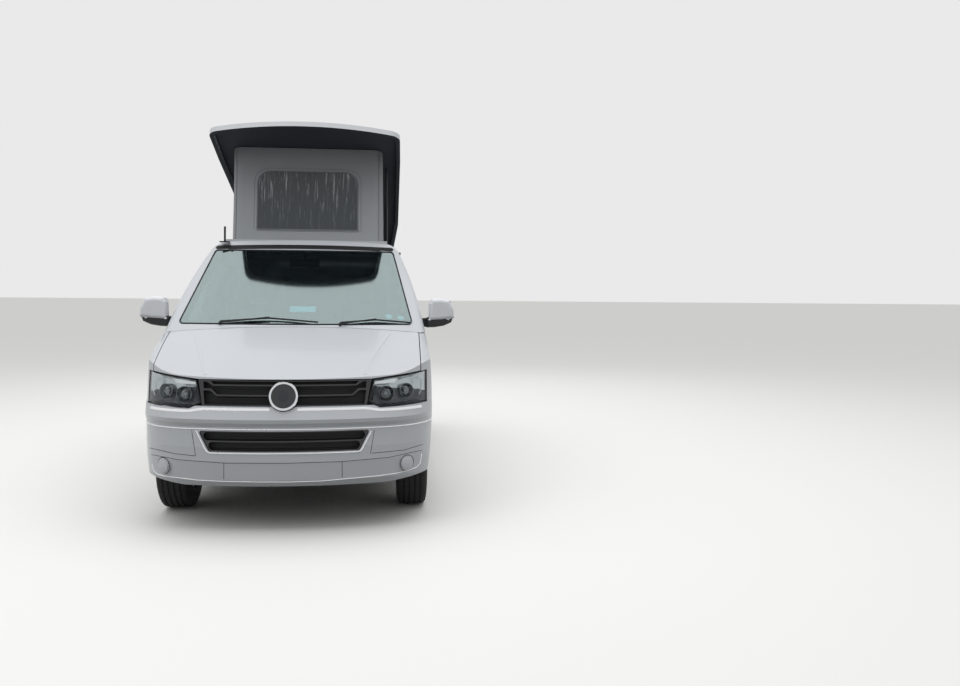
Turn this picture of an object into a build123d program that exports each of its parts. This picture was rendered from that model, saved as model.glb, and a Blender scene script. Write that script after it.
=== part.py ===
from build123d import *
from functools import cache
import math
import os

# A panel-van camper with a rear-hinged lifting roof, in millimetres.
# The nose points to -Y, the vehicle's left is +X, and the ground is Z 0 under the middle of the van.
os.makedirs("parts", exist_ok=True)

# Overall sizes
LENGTH = 4892
WIDTH = 1904
WHEELBASE = 3000
FRONT_AXLE = 894
TRACK = 1640
TYRE_DIAMETER = 688
TYRE_WIDTH = 218
RIM_DIAMETER = 406
ROOF_Z = 1950

# Panel thicknesses and clearances
WALL = 45
SKIN = 24
PANEL_GAP = 6
SEAT_GAP = 0.3
GLASS = 5
GLASS_STEP = 3

REAR_AXLE = FRONT_AXLE + WHEELBASE
HUB_Z = TYRE_DIAMETER / 2
HALF = WIDTH / 2

# Places beyond the body, for cutters that must pass right through it
OUTSIDE = HALF + 50
AHEAD = -100
BEHIND = LENGTH + 50
ACROSS = (-OUTSIDE, OUTSIDE)


def station(distance):
    """Y of a place that lies this far behind the foremost point of the nose."""
    return distance - LENGTH / 2


# Body plan outline: heights with the places of the nose and of the tail
PLAN_HALF = HALF + 3
NOSE_RADIUS = 2100
NOSE_CORNER = 450
TAIL_RADIUS = 9000
TAIL_CORNER = 130
# height, nose, tail
BODY_LEVELS = ((200, 46, 4800), (820, 50, 4835), (1150, 122, 4815), (2200, 300, 4560))
BUMPER_LEVELS = ((200, 160, 4800), (302, 100, 4800), (345, 66, 4800), (470, 36, 4800), (560, 26, 4800),
                 (690, 30, 4800), (716, 8, 4800), (740, 0, 4800), (818, 30, 4800), (900, 48, 4800))

# Body cross-section, half width and height of each corner between its arcs
SILL = (905, 240)
WIDEST = (HALF - 3.6, 640)
BELT = (940, 1080)
RAIL = (735, 1855)
ROOF_EDGE = (628, 1930)

# Bonnet and windscreen on the centre line, distance behind the nose and height
BONNET_LINE = ((83, 985), (400, 1166), (720, 1306))
BONNET_CROWN = 5000
WING_EDGE = 150
SCREEN_LINE = ((715, 1304), (1442, 1871))
SCREEN_CROWN = 4070
SCREEN_HALF = 1300
SCREEN_BELOW = 1500
SCREEN_RUN = 6200
SCREEN_DEPTH = 4200
PILLAR_EDGE = 55


def end_points(place, big, small, sign, inset):
    """Tip, tangent point, corner middle and side point at one end of the plan outline."""
    half = PLAN_HALF - inset
    centre = place + sign * big
    corner_x = PLAN_HALF - small
    corner_y = centre - sign * math.sqrt((big - small) ** 2 - corner_x ** 2)
    reach = (big - inset) / (big - small)
    tangent = (corner_x * reach, centre + (corner_y - centre) * reach)
    turn = math.atan2(tangent[1] - corner_y, tangent[0] - corner_x) / 2
    radius = small - inset
    middle = (corner_x + radius * math.cos(turn), corner_y + radius * math.sin(turn))
    return (0, place + sign * inset), tangent, middle, (half, corner_y)


def plan_wire(z, nose, tail, inset):
    front = end_points(station(nose), NOSE_RADIUS, NOSE_CORNER, 1, inset)
    rear = end_points(station(tail), TAIL_RADIUS, TAIL_CORNER, -1, inset)
    left = [(x, y, z) for x, y in front] + [(x, y, z) for x, y in reversed(rear)]
    right = [(-x, y, z) for x, y, z in left]
    return Wire([
        ThreePointArc(right[1], left[0], left[1]),
        ThreePointArc(left[1], left[2], left[3]),
        Line(left[3], left[4]),
        ThreePointArc(left[4], left[5], left[6]),
        ThreePointArc(left[6], left[7], right[6]),
        ThreePointArc(right[6], right[5], right[4]),
        Line(right[4], right[3]),
        ThreePointArc(right[3], right[2], right[1]),
    ])


def plan_body(levels, inset):
    return loft([Face(plan_wire(z, nose, tail, inset)) for z, nose, tail in levels], ruled=True)


def inward(face, inset):
    return offset(face, -inset, kind=Kind.INTERSECTION).face() if inset else face


def section_body(inset):
    """The cross-section with its tumblehome, pushed along the whole van."""
    low = ThreePointArc(SILL, WIDEST, BELT)
    upper = TangentArc(BELT, RAIL, tangent=low % 1)
    edge = TangentArc(RAIL, ROOF_EDGE, tangent=upper % 1)
    left = [low, upper, edge]
    right = [arc.mirror(Plane.YZ) for arc in left]
    crown = ThreePointArc(ROOF_EDGE, (0, ROOF_Z), (-ROOF_EDGE[0], ROOF_EDGE[1]))
    base = Line((-SILL[0], SILL[1]), SILL)
    face = inward(Face(Wire([*left, crown, *right, base])), inset)
    return extrude(Plane.XZ.from_local_coords(face), amount=LENGTH, both=True)


def bonnet_body(inset):
    """Everything below the crowned bonnet surface, swung about the centre of its side-view arc."""
    arc = ThreePointArc(*[(station(d), z) for d, z in BONNET_LINE])
    centre, radius = arc.arc_center, arc.radius - inset
    half = PLAN_HALF + 20 - inset
    low = radius - half ** 2 / 2 / (BONNET_CROWN - inset)
    crown = ThreePointArc((-half, low), (0, radius), (half, low))
    sides = Polyline((half, low), (half, 10), (-half, 10), (-half, low))
    face = make_face([crown, sides])
    face = fillet(face.vertices().group_by(Axis.Y)[-1], WING_EDGE - inset).face()
    place = Plane(origin=(0, centre.X, centre.Y), x_dir=(1, 0, 0), z_dir=(0, -1, 0))
    hinge = Axis((0, centre.X, centre.Y), (1, 0, 0))
    return revolve(place.from_local_coords(face), axis=hinge, revolution_arc=90)


def screen_body(inset):
    """Everything behind the crowned windscreen surface."""
    low, high = [Vector(0, station(d), z) for d, z in SCREEN_LINE]
    along = (high - low).normalized()
    place = Plane(origin=low - along * SCREEN_BELOW, x_dir=(-1, 0, 0), z_dir=along)
    half = SCREEN_HALF
    edge = -half ** 2 / 2 / SCREEN_CROWN - inset
    crown = ThreePointArc((-half, edge), (0, -inset), (half, edge))
    back = Polyline((half, edge), (half, -SCREEN_DEPTH), (-half, -SCREEN_DEPTH), (-half, edge))
    face = place.from_local_coords(make_face([crown, back]).face())
    return extrude(face, amount=SCREEN_RUN, dir=along)


@cache
def hull(inset):
    """The body's outer volume, drawn in by an inset."""
    return section_body(inset) & plan_body(BODY_LEVELS, inset) & (bonnet_body(inset) + screen_body(inset))


def outline_face(points, radius):
    """A flat face inside a closed outline, its corners rounded if a radius is given."""
    path = FilletPolyline(*points, radius=radius, close=True) if radius else Polyline(*points, close=True)
    return make_face(path).face()


def across(outline, low, high, radius=0):
    """A side-view outline of distance and height, pushed across from one X to another."""
    face = outline_face([(station(d), z) for d, z in outline], radius)
    return extrude(Plane.YZ.offset(low).from_local_coords(face), amount=high - low, dir=(1, 0, 0))


def lengthwise(outline, front, back, radius=0):
    """A front-view outline of X and height, pushed from one distance behind the nose to another."""
    face = outline_face(outline, radius)
    place = Plane(origin=(0, station(front), 0), x_dir=(1, 0, 0), z_dir=(0, -1, 0))
    return extrude(place.from_local_coords(face), amount=back - front, dir=(0, 1, 0))


def block(x, distance, z):
    """A box between two X, two distances behind the nose and two heights."""
    size = (x[1] - x[0], distance[1] - distance[0], z[1] - z[0])
    middle = (sum(x) / 2, station(sum(distance) / 2), sum(z) / 2)
    return Pos(*middle) * Box(*size)


def shrink(outline, amount):
    """An outline with every side drawn in by an amount."""
    face = offset(make_face(Polyline(*outline, close=True)), -amount, kind=Kind.INTERSECTION).face()
    return [(v.X, v.Y) for v in [e @ 0 for e in face.outer_wire().order_edges()]]


def whole(half_outline):
    """A closed outline from its right half, listed from the bottom to the top."""
    return [*half_outline, *[(-x, z) for x, z in reversed(half_outline)]]


def both_sides(shape):
    return [shape, shape.mirror(Plane.YZ)]


def band(sign, near, far):
    """Two X on one side of the van, in rising order."""
    return sorted((sign * near, sign * far))


def rod(start, end, radius):
    """A round bar between two points."""
    start, end = Vector(*start), Vector(*end)
    return extrude(Plane(origin=start, z_dir=end - start) * Circle(radius), amount=(end - start).length)


def across_rod(distance, z, radius, low, high):
    """A round bar that lies across the van between two X."""
    return rod((low, station(distance), z), (high, station(distance), z), radius)


def upright_rod(x, distance, radius, low, high):
    """A round bar that stands between two heights."""
    return rod((x, station(distance), low), (x, station(distance), high), radius)


def biggest(shape):
    return shape.solids().sort_by(SortBy.VOLUME)[-1]


def save(name, *shapes):
    solids = [solid for shape in shapes for solid in shape.solids()]
    export_step(Compound(children=solids), f"parts/{name}.step")


def is_pillar_edge(edge):
    """Whether an edge of the body runs from the bonnet's rear up to the roof beside the windscreen."""
    box = edge.bounding_box()
    tall = box.max.Z > RAIL[1] - 1 and box.min.Z < BONNET_LINE[2][1]
    beside = box.min.Y > station(BONNET_LINE[1][0]) and box.max.Y < station(SCREEN_LINE[1][0] + 200)
    return tall and beside


outer = hull(0)
outer = outer.fillet(PILLAR_EDGE, [edge for edge in outer.edges() if is_pillar_edge(edge)])
wall_core = hull(WALL)
trim_core = hull(WALL + SEAT_GAP)
skin_core = hull(SKIN)
pane_outer = hull(GLASS_STEP)
pane_inner = hull(GLASS_STEP + GLASS)
walls = outer - wall_core
skin = outer - skin_core
panes = pane_outer - pane_inner

# Openings in side view: corner distances behind the nose and heights
DOOR = ((990, 330), (2030, 330), (2030, 1838), (1690, 1838), (990, 1262))
DOOR_THICK = 75
DOOR_FLANGE = 20
DOOR_REBATE = 20
SLIDING_DOOR = ((2042, 330), (3110, 330), (3110, 1838), (2042, 1838))
DOOR_WINDOW = ((1180, 1130), (1950, 1130), (1950, 1755), (1710, 1755), (1180, 1325))
MIDDLE_WINDOW = ((2140, 1130), (3020, 1130), (3020, 1755), (2140, 1755))
REAR_WINDOW = ((3240, 1130), (4480, 1130), (4420, 1755), (3240, 1755))
WINDOW_CORNER = 55
DOOR_CORNER = 35
ARCH_RADIUS = 400
REAR_ARCH_RADIUS = 385
ARCH_FLANGE = 30

# Openings in front and rear view: X and height
TAILGATE = ((-700, 620), (700, 620), (700, 1160), (610, 1862), (-610, 1862), (-700, 1160))
TAILGATE_CORNER = 60
TAILGATE_THICK = 60
TAILGATE_ZONE = 4440
TAILGATE_WINDOW = ((-575, 1170), (575, 1170), (500, 1750), (-500, 1750))
TAILGATE_WINDOW_CORNER = 70
LAMP = ((557, 981), (912, 1022), (912, 809), (599, 800), (523, 835))
LAMP_REAR = 560
GRILLE = ((-545, 979), (545, 979), (515, 818), (-515, 818))
LOWER_GRILLE = ((-538, 664), (538, 664), (470, 532), (-470, 532))
GRILLE_REAR = 400
BUMPER_TOP = 818
BUMPER_BOTTOM = 302
BUMPER_REAR = 498
BUMPER_THICK = 30

door_arch_radius = ARCH_RADIUS + ARCH_FLANGE
front_arch = across_rod(FRONT_AXLE, HUB_Z, ARCH_RADIUS, *ACROSS)
door_arch = across_rod(FRONT_AXLE, HUB_Z, door_arch_radius, *ACROSS)
rear_arch = across_rod(REAR_AXLE, HUB_Z, REAR_ARCH_RADIUS, *ACROSS)

# Windscreen, seen from the front
SCREEN_PANE = ((-832, 1307), (832, 1307), (690, 1866), (-690, 1866))
SCREEN_ZONE = (600, 1700)
SCREEN_CORNER = 26
SCREEN_SEAT = 2
screen_hole = lengthwise(SCREEN_PANE, *SCREEN_ZONE, SCREEN_CORNER)
screen_pane = lengthwise(shrink(SCREEN_PANE, SCREEN_SEAT), *SCREEN_ZONE, SCREEN_CORNER - SCREEN_SEAT)
save("windscreen", panes & screen_pane)

# Bonnet, with its front edge over the lamps and its rear edge along the windscreen
BONNET_HALF = 872
BONNET_REAR = 695
BONNET_REAR_CORNER = 805
BONNET_EDGE = (545, 985)
BONNET_OUTER = (912, 1026)
BONNET_ZONE_TOP = 1500
bonnet_plan = make_face([
    ThreePointArc((-BONNET_HALF, station(BONNET_REAR_CORNER)), (0, station(BONNET_REAR)),
                  (BONNET_HALF, station(BONNET_REAR_CORNER))),
    Polyline((BONNET_HALF, station(BONNET_REAR_CORNER)), (BONNET_HALF, station(AHEAD)),
             (-BONNET_HALF, station(AHEAD)), (-BONNET_HALF, station(BONNET_REAR_CORNER))),
])
bonnet_zone = extrude(bonnet_plan, amount=BONNET_ZONE_TOP)
bonnet_front = lengthwise(whole((BONNET_EDGE, BONNET_OUTER, (BONNET_OUTER[0], BONNET_ZONE_TOP))), AHEAD, 1000)
bonnet_gap = extrude(offset(bonnet_plan, -PANEL_GAP, kind=Kind.INTERSECTION), amount=BONNET_ZONE_TOP)
bonnet = skin & bonnet_gap & bonnet_front
save("bonnet", bonnet)

# Front doors, a flanged outer skin on a thicker inner frame
door_hole = across(DOOR, 0, OUTSIDE, DOOR_CORNER) - door_arch
door_outer = outer - hull(DOOR_FLANGE)
door_inner = hull(DOOR_FLANGE) - hull(DOOR_THICK)


def door_zone(amount):
    """The door's outline drawn in by an amount, less the wheel arch let out by the same."""
    zone = across(shrink(DOOR, amount), 0, OUTSIDE, DOOR_CORNER - amount)
    return zone - across_rod(FRONT_AXLE, HUB_Z, door_arch_radius + amount, 0, OUTSIDE)


door = (door_outer & door_zone(PANEL_GAP)) + (door_inner & door_zone(DOOR_REBATE))
door -= across(DOOR_WINDOW, 0, OUTSIDE, WINDOW_CORNER)
door_glass = panes & across(shrink(DOOR_WINDOW, SEAT_GAP), 0, OUTSIDE, WINDOW_CORNER)
for side, shape in zip(("left", "right"), both_sides(door)):
    save(f"front_door_{side}", shape)
for side, shape in zip(("left", "right"), both_sides(door_glass)):
    save(f"front_door_glass_{side}", shape)

# Sliding door in the left side, which stays shut
sliding_hole = across(SLIDING_DOOR, 0, OUTSIDE, DOOR_CORNER)
sliding = walls & across(shrink(SLIDING_DOOR, PANEL_GAP), 0, OUTSIDE, DOOR_CORNER - PANEL_GAP)
middle_hole = across(MIDDLE_WINDOW, 0, OUTSIDE, WINDOW_CORNER)
middle_pane = panes & across(shrink(MIDDLE_WINDOW, SEAT_GAP), 0, OUTSIDE, WINDOW_CORNER)
rear_hole = across(REAR_WINDOW, 0, OUTSIDE, WINDOW_CORNER)
rear_pane = panes & across(shrink(REAR_WINDOW, SEAT_GAP), 0, OUTSIDE, WINDOW_CORNER)
save("sliding_door", sliding - middle_hole)
save("side_windows", *both_sides(middle_pane), *both_sides(rear_pane))

# Tailgate
tailgate_hole = lengthwise(TAILGATE, TAILGATE_ZONE, BEHIND, TAILGATE_CORNER)
tailgate_zone = lengthwise(shrink(TAILGATE, PANEL_GAP), TAILGATE_ZONE, BEHIND, TAILGATE_CORNER - PANEL_GAP)
tail_window = lengthwise(TAILGATE_WINDOW, TAILGATE_ZONE, BEHIND, TAILGATE_WINDOW_CORNER)
tail_pane = lengthwise(shrink(TAILGATE_WINDOW, SEAT_GAP), TAILGATE_ZONE, BEHIND, TAILGATE_WINDOW_CORNER)
save("tailgate", ((outer - hull(TAILGATE_THICK)) & tailgate_zone) - tail_window)
save("tailgate_glass", panes & tail_pane)

# Roof opening under the lifting roof, and the frame round it
OPENING_HALF = 520
OPENING = (1800, 4180)
FRAME_HALF = 640
FRAME = (1690, 4385)
FRAME_RIM = 36
FRAME_TOP = 1957
FRAME_BOTTOM = 1880
roof_hole = block((-OPENING_HALF, OPENING_HALF), OPENING, (1700, 2100))

# Rear bumper and lamps
BUMPER_ARCH_GAP = 86
REAR_BUMPER = (REAR_AXLE + REAR_ARCH_RADIUS + BUMPER_ARCH_GAP, 612)
REAR_LEVELS = ((200, 46, 4865), (330, 46, 4880), (560, 46, 4892), (640, 46, 4880), (2200, 300, 4560))
REAR_LAMP = ((716, 872), (970, 872), (970, 1330), (742, 1330))
REAR_LAMP_ZONE = (4600, BEHIND)
REAR_LAMP_CORNER = 12
rear_zone = block(ACROSS, (REAR_BUMPER[0], BEHIND), (100, REAR_BUMPER[1]))
rear_bumper_zone = block(ACROSS, (REAR_BUMPER[0] + PANEL_GAP, BEHIND),
                         (BUMPER_BOTTOM + 10, REAR_BUMPER[1] - PANEL_GAP))
rear_bumper = section_body(0) & plan_body(REAR_LEVELS, 0) & rear_bumper_zone
rear_bumper -= section_body(WALL) & plan_body(REAR_LEVELS, WALL)
save("rear_bumper", rear_bumper)
rear_lamp_hole = lengthwise(REAR_LAMP, *REAR_LAMP_ZONE, REAR_LAMP_CORNER)
rear_lamp_zone = lengthwise(shrink(REAR_LAMP, SEAT_GAP), *REAR_LAMP_ZONE, REAR_LAMP_CORNER)
save("rear_lamps", *both_sides((pane_outer - wall_core) & rear_lamp_zone))

# Body shell: sides, pillars, roof and tail, behind the wings and the bonnet
WING_REAR = 985
COWL_Z = 1255
UNDER_Z = 330
SILL_INNER = HALF - 72
nose_zone = block(ACROSS, (AHEAD, WING_REAR), (100, COWL_Z))
shell = walls - nose_zone - bonnet_zone - screen_hole - roof_hole - front_arch - rear_arch - tailgate_hole
for hole in (door_hole, rear_hole, middle_hole, rear_lamp_hole):
    for side in both_sides(hole):
        shell -= side
shell -= sliding_hole
shell -= rear_zone
shell -= block((-SILL_INNER, SILL_INNER), (0, LENGTH), (200, UNDER_Z))
save("body_shell", biggest(shell))

# Wings: the skin in front of the doors, outside the bonnet and above the bumper
bumper_zone = block(ACROSS, (AHEAD, BUMPER_REAR), (0, BUMPER_TOP))
lamp_hole = lengthwise(LAMP, AHEAD, LAMP_REAR)
wing = skin & block((HALF / 2, OUTSIDE), (AHEAD, WING_REAR - PANEL_GAP), (HUB_Z, COWL_Z - PANEL_GAP))
wing = wing - bonnet_zone - bumper_zone - lamp_hole - front_arch
save("front_wings", *both_sides(biggest(wing)))

# Front bumper with its lower grille and two round blanks
LOWER_GRILLE_CORNER = 14
LOWER_GRILLE_REAR = 300
DISC_RADIUS = 92
DISC_Z = 885
DISC_TILT = math.radians(12)
BLANK_X = 776
BLANK_Z = 424
BLANK_RADIUS = 52
BLANK_DOME = 158
bumper_front = whole(((640, BUMPER_BOTTOM), (HALF + 5, 342), (HALF + 5, BUMPER_TOP - SEAT_GAP)))
bumper_core = section_body(BUMPER_THICK) & plan_body(BUMPER_LEVELS, BUMPER_THICK)
bumper = section_body(0) & plan_body(BUMPER_LEVELS, 0)
bumper &= lengthwise(bumper_front, AHEAD / 2, BUMPER_REAR - PANEL_GAP)
bumper = bumper - bumper_core - front_arch
bumper -= lengthwise(LOWER_GRILLE, AHEAD, LOWER_GRILLE_REAR, LOWER_GRILLE_CORNER)
blank_turn = math.asin((BLANK_X - PLAN_HALF + NOSE_CORNER) / NOSE_CORNER)
blank_centre = station(BUMPER_LEVELS[3][1]) + NOSE_RADIUS
blank_centre -= math.sqrt((NOSE_RADIUS - NOSE_CORNER) ** 2 - (PLAN_HALF - NOSE_CORNER) ** 2)
blank_face = Plane(origin=(BLANK_X, blank_centre - NOSE_CORNER * math.cos(blank_turn), BLANK_Z),
                   z_dir=(math.sin(blank_turn), -math.cos(blank_turn), 0))
blank_hole = blank_face * Pos(0, 0, -20) * Cylinder(BLANK_RADIUS, 120)
blank = blank_face * Pos(0, 0, -14) * Cylinder(BLANK_RADIUS - SEAT_GAP, 28)
blank_dome = Pos(0, 0, 12 - BLANK_DOME) * Sphere(BLANK_DOME) & Pos(0, 0, 6) * Cylinder(BLANK_RADIUS - 8, 16)
blank += blank_face * blank_dome
disc_place = Plane(origin=(0, station(36), DISC_Z), z_dir=(0, -math.cos(DISC_TILT), math.sin(DISC_TILT)))
for side in both_sides(blank_hole) + both_sides(lamp_hole):
    bumper -= side
save("front_bumper", bumper - disc_place * Cylinder(DISC_RADIUS + 4, 200))
save("bumper_blanks", *both_sides(blank))

# Lower grille: a frame with one bar between two slots
LOWER_SLOTS = ((540, 594), (603, 656))
LOWER_SLOT_CORNER = 24
LOWER_FRAME = 14
grille_outer = plan_body(BUMPER_LEVELS, 10) - plan_body(BUMPER_LEVELS, BUMPER_THICK + 10)
lower_zone = lengthwise(shrink(LOWER_GRILLE, SEAT_GAP), AHEAD, LOWER_GRILLE_REAR, LOWER_GRILLE_CORNER)
lower_grille = grille_outer & lower_zone
lower_slope = (LOWER_GRILLE[1][0] - LOWER_GRILLE[2][0]) / (LOWER_GRILLE[1][1] - LOWER_GRILLE[2][1])
for slot in LOWER_SLOTS:
    sides = [(LOWER_GRILLE[2][0] + (z - LOWER_GRILLE[2][1]) * lower_slope - LOWER_FRAME, z) for z in slot]
    lower_grille -= lengthwise(whole(sides), AHEAD, GRILLE_REAR, LOWER_SLOT_CORNER)
save("lower_grille", lower_grille)

# Upper grille: three slots between two thin ribs that turn up at their ends, and a plain disc
UPPER_SLOTS = (
    ((500, 826), (510, 914), (468, 914), (424, 880)),
    ((420, 890), (460, 926), (508, 926), (512, 968), (488, 968), (449, 943)),
    ((444, 953), (466, 972)),
)
upper_grille = (hull(8) - hull(34)) & lengthwise(shrink(GRILLE, SEAT_GAP), AHEAD, GRILLE_REAR)
for slot in UPPER_SLOTS:
    upper_grille -= lengthwise(whole(slot), AHEAD, GRILLE_REAR)
upper_grille += disc_place * Pos(0, 0, -16) * Cylinder(DISC_RADIUS, 44)
save("upper_grille", upper_grille)

# Headlamps: a deep housing with two bowls under a clear lens
LAMP_DEPTH = 110
LAMP_BOWLS = ((652, 898, 60), (806, 918, 52))  # X, height, radius
LENS_GAP = 3
lamp_body = hull(GLASS_STEP + GLASS + SEAT_GAP) - hull(LAMP_DEPTH)
lamp_body &= lengthwise(shrink(LAMP, SEAT_GAP), AHEAD, LAMP_REAR)
for x, z, radius in LAMP_BOWLS:
    lamp_body -= Pos(x, station(0), z) * Rot(90, 0, 0) * Cone(radius * 0.4, radius * 1.15, 420)
lens = panes & lengthwise(shrink(LAMP, LENS_GAP), AHEAD, LAMP_REAR)
save("headlights", *both_sides(biggest(lamp_body)))
save("headlight_lenses", *both_sides(lens))

# Floor, bulkhead, front wheel liners and rear wheel tubs
STRUT_X = 622
STRUT_RADIUS = 38
SPRING_RADIUS = 62
FLOOR = (430, 470)
CAB_FRONT = 1010
CAB_REAR = 2036
FLOOR_REAR = 4720
BULKHEAD = (992, CAB_FRONT)
LINER = (480, 850)
LINER_RADIUS = door_arch_radius + 2
LINER_THICK = 10
TUB = (610, 850)
TUB_RADIUS = REAR_ARCH_RADIUS + 5
LATCH_PANEL = ((-690, 690), (4660, 4860), (FLOOR[0], 660))
cab_core = hull(DOOR_THICK + SEAT_GAP)
floor = cab_core & block((-HALF, HALF), (CAB_FRONT - 1, CAB_REAR), FLOOR)
floor += trim_core & block((-HALF, HALF), (CAB_REAR, FLOOR_REAR), FLOOR)
floor += hull(TAILGATE_THICK + SEAT_GAP) & block(*LATCH_PANEL)
floor += cab_core & block((-800, 800), BULKHEAD, (FLOOR[0], COWL_Z + 20))
for axle, (near, far), radius, front in ((FRONT_AXLE, LINER, LINER_RADIUS, FRONT_AXLE - 30),
                                         (REAR_AXLE, TUB, TUB_RADIUS, 0)):
    for sign in (1, -1):
        drum = across_rod(axle, HUB_Z, radius + LINER_THICK, *band(sign, near, far))
        floor += drum & block((-HALF, HALF), (front, LENGTH), (FLOOR[0], 1200))
        floor -= across_rod(axle, HUB_Z, radius, *band(sign, near + LINER_THICK, OUTSIDE))
for sign in (1, -1):
    floor -= upright_rod(sign * STRUT_X, FRONT_AXLE, SPRING_RADIUS + 5, 700, 1000)
floor = floor & (trim_core + block((-HALF, HALF), (0, 2000), (0, 1000)))
save("floor_pan", biggest(floor))

# Underside: rails, front suspension, rear axle, engine, radiator, tank and exhaust
RAIL_X = (355, 430)
RAIL_BOTTOM = 340
FRONT_RAIL_Z = (440, 540)
RAIL_DROP = (BULKHEAD[0] - 60, BULKHEAD[0] - 2)
TOWBAR_HOLES = (4450, 4600)
TOWBAR_HOLE_RADIUS = 6.5
TOWBAR_HOLE_DEPTH = 60
rail_seat = plan_body(REAR_LEVELS, WALL + SEAT_GAP)
rails = []
for sign in (1, -1):
    sides = band(sign, *RAIL_X)
    floor_rail = rail_seat & block(sides, (RAIL_DROP[0], LENGTH), (RAIL_BOTTOM, FLOOR[0] - SEAT_GAP))
    for distance in TOWBAR_HOLES:
        floor_rail -= upright_rod(sum(sides) / 2, distance, TOWBAR_HOLE_RADIUS, RAIL_BOTTOM,
                                  RAIL_BOTTOM + TOWBAR_HOLE_DEPTH)
    rails.append(block(sides, (180, RAIL_DROP[1]), FRONT_RAIL_Z))
    rails.append(block(sides, RAIL_DROP, (RAIL_BOTTOM, FRONT_RAIL_Z[1])))
    rails.append(floor_rail)
crash_bar = block((-520, 520), (150, 190), (450, 540))
bumper_seat = plan_body(BUMPER_LEVELS, BUMPER_THICK + SEAT_GAP)
for side in both_sides(block((300, RAIL_X[0] + 1), (60, 182), (465, 525)) & bumper_seat):
    crash_bar += side
save("chassis_rails", sum(rails[1:], rails[0]) + crash_bar)

KINGPIN_X = 705
KINGPIN_TOP = 462
ARM_Z = (192, 222)
ARM_HALF = 25
suspension = block((-430, 430), (FRONT_AXLE - 70, FRONT_AXLE + 80), (ARM_Z[0], 300))
for sign in (1, -1):
    suspension += block(band(sign, 400, KINGPIN_X), (FRONT_AXLE - ARM_HALF, FRONT_AXLE + ARM_HALF), ARM_Z)
    suspension += upright_rod(sign * KINGPIN_X, FRONT_AXLE, ARM_HALF, *ARM_Z)
    suspension += upright_rod(sign * STRUT_X, FRONT_AXLE, STRUT_RADIUS, ARM_Z[0], 860)
    suspension += upright_rod(sign * STRUT_X, FRONT_AXLE, SPRING_RADIUS, 740, 900)
    suspension += block(band(sign, 360, 425), (FRONT_AXLE - 60, FRONT_AXLE + 70), (290, RAIL_BOTTOM - SEAT_GAP))
save("front_suspension", suspension)

HUB_FACE = TRACK / 2 - 22
HUB_RADIUS = 72
HUB_THICK = 26
FRONT_DISC = (KINGPIN_X + 42, KINGPIN_X + 64)
FRONT_DISC_RADIUS = 142
knuckle = upright_rod(KINGPIN_X, FRONT_AXLE, 34, ARM_Z[1] + SEAT_GAP, KINGPIN_TOP)
knuckle += across_rod(FRONT_AXLE, HUB_Z, 58, KINGPIN_X - 20, HUB_FACE - 20)
knuckle += across_rod(FRONT_AXLE, HUB_Z, HUB_RADIUS, HUB_FACE - HUB_THICK, HUB_FACE)
knuckle += across_rod(FRONT_AXLE, HUB_Z, FRONT_DISC_RADIUS, *FRONT_DISC)
for side, shape in zip(("left", "right"), both_sides(knuckle)):
    save(f"knuckle_{side}", shape)

AXLE_BEAM = (3560, 3650)
AXLE_BEAM_Z = (300, RAIL_BOTTOM - SEAT_GAP)
TRAILING_ARM = ((430, 560), (300, 345))
STUB_RADIUS = 46
REAR_DISC_RADIUS = 138
rear = block((-TRAILING_ARM[0][0], TRAILING_ARM[0][0]), AXLE_BEAM, AXLE_BEAM_Z)
for sign in (1, -1):
    rear += block(band(sign, *TRAILING_ARM[0]), (AXLE_BEAM[0], REAR_AXLE + 50), TRAILING_ARM[1])
    rear += across_rod(REAR_AXLE, HUB_Z, STUB_RADIUS, *band(sign, 500, HUB_FACE - 20))
    rear += across_rod(REAR_AXLE, HUB_Z, HUB_RADIUS, *band(sign, HUB_FACE - 24, HUB_FACE))
    rear += across_rod(REAR_AXLE, HUB_Z, REAR_DISC_RADIUS, *band(sign, HUB_FACE - 62, HUB_FACE - 40))
save("rear_axle", rear)

RADIATOR = ((205, 260), (400, 1200))
ENGINE = ((330, 860), (345, 960))
TANK = ((40, 340), (1450, 2350), (245, FLOOR[0] - SEAT_GAP))
between_rails = (SEAT_GAP - RAIL_X[0], RAIL_X[0] - SEAT_GAP)
save("radiator", block(between_rails, *RADIATOR) & hull(SKIN + SEAT_GAP))
save("engine_block", block(between_rails, *ENGINE))
save("fuel_tank", block(*TANK))

EXHAUST_RADIUS = 27
EXHAUST_X = -60
EXHAUST_Z = 225
EXHAUST_BEND = 120
SILENCER = (2600, 3300)
SILENCER_RADIUS = 85
EXHAUST_TAIL = (-300, 4840, 258)
exhaust_route = [(EXHAUST_X, ENGINE[0][1] + SEAT_GAP, 372), (EXHAUST_X, 1040, 372), (EXHAUST_X, 1400, EXHAUST_Z),
                 (EXHAUST_X, 3420, EXHAUST_Z), (EXHAUST_TAIL[0], 4000, EXHAUST_TAIL[2]), EXHAUST_TAIL]
exhaust_path = FilletPolyline(*[(x, station(d), z) for x, d, z in exhaust_route], radius=EXHAUST_BEND)
exhaust_start = Plane(origin=exhaust_path @ 0, z_dir=exhaust_path % 0)
exhaust = sweep(exhaust_start * Circle(EXHAUST_RADIUS), path=exhaust_path)
silencer_ends = [(EXHAUST_X, station(distance), EXHAUST_Z) for distance in SILENCER]
exhaust += rod(*silencer_ends, SILENCER_RADIUS)
exhaust += block((EXHAUST_X - 15, EXHAUST_X + 15), (2700, 2720), (EXHAUST_Z, FLOOR[0] - SEAT_GAP))
save("exhaust", exhaust)


# Wheels
def ring_profile(points, radius=0):
    """A wheel section of X from the wheel's middle and radius, turned about the wheel's axle."""
    return revolve(outline_face(points, radius), axis=Axis.X)


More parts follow.
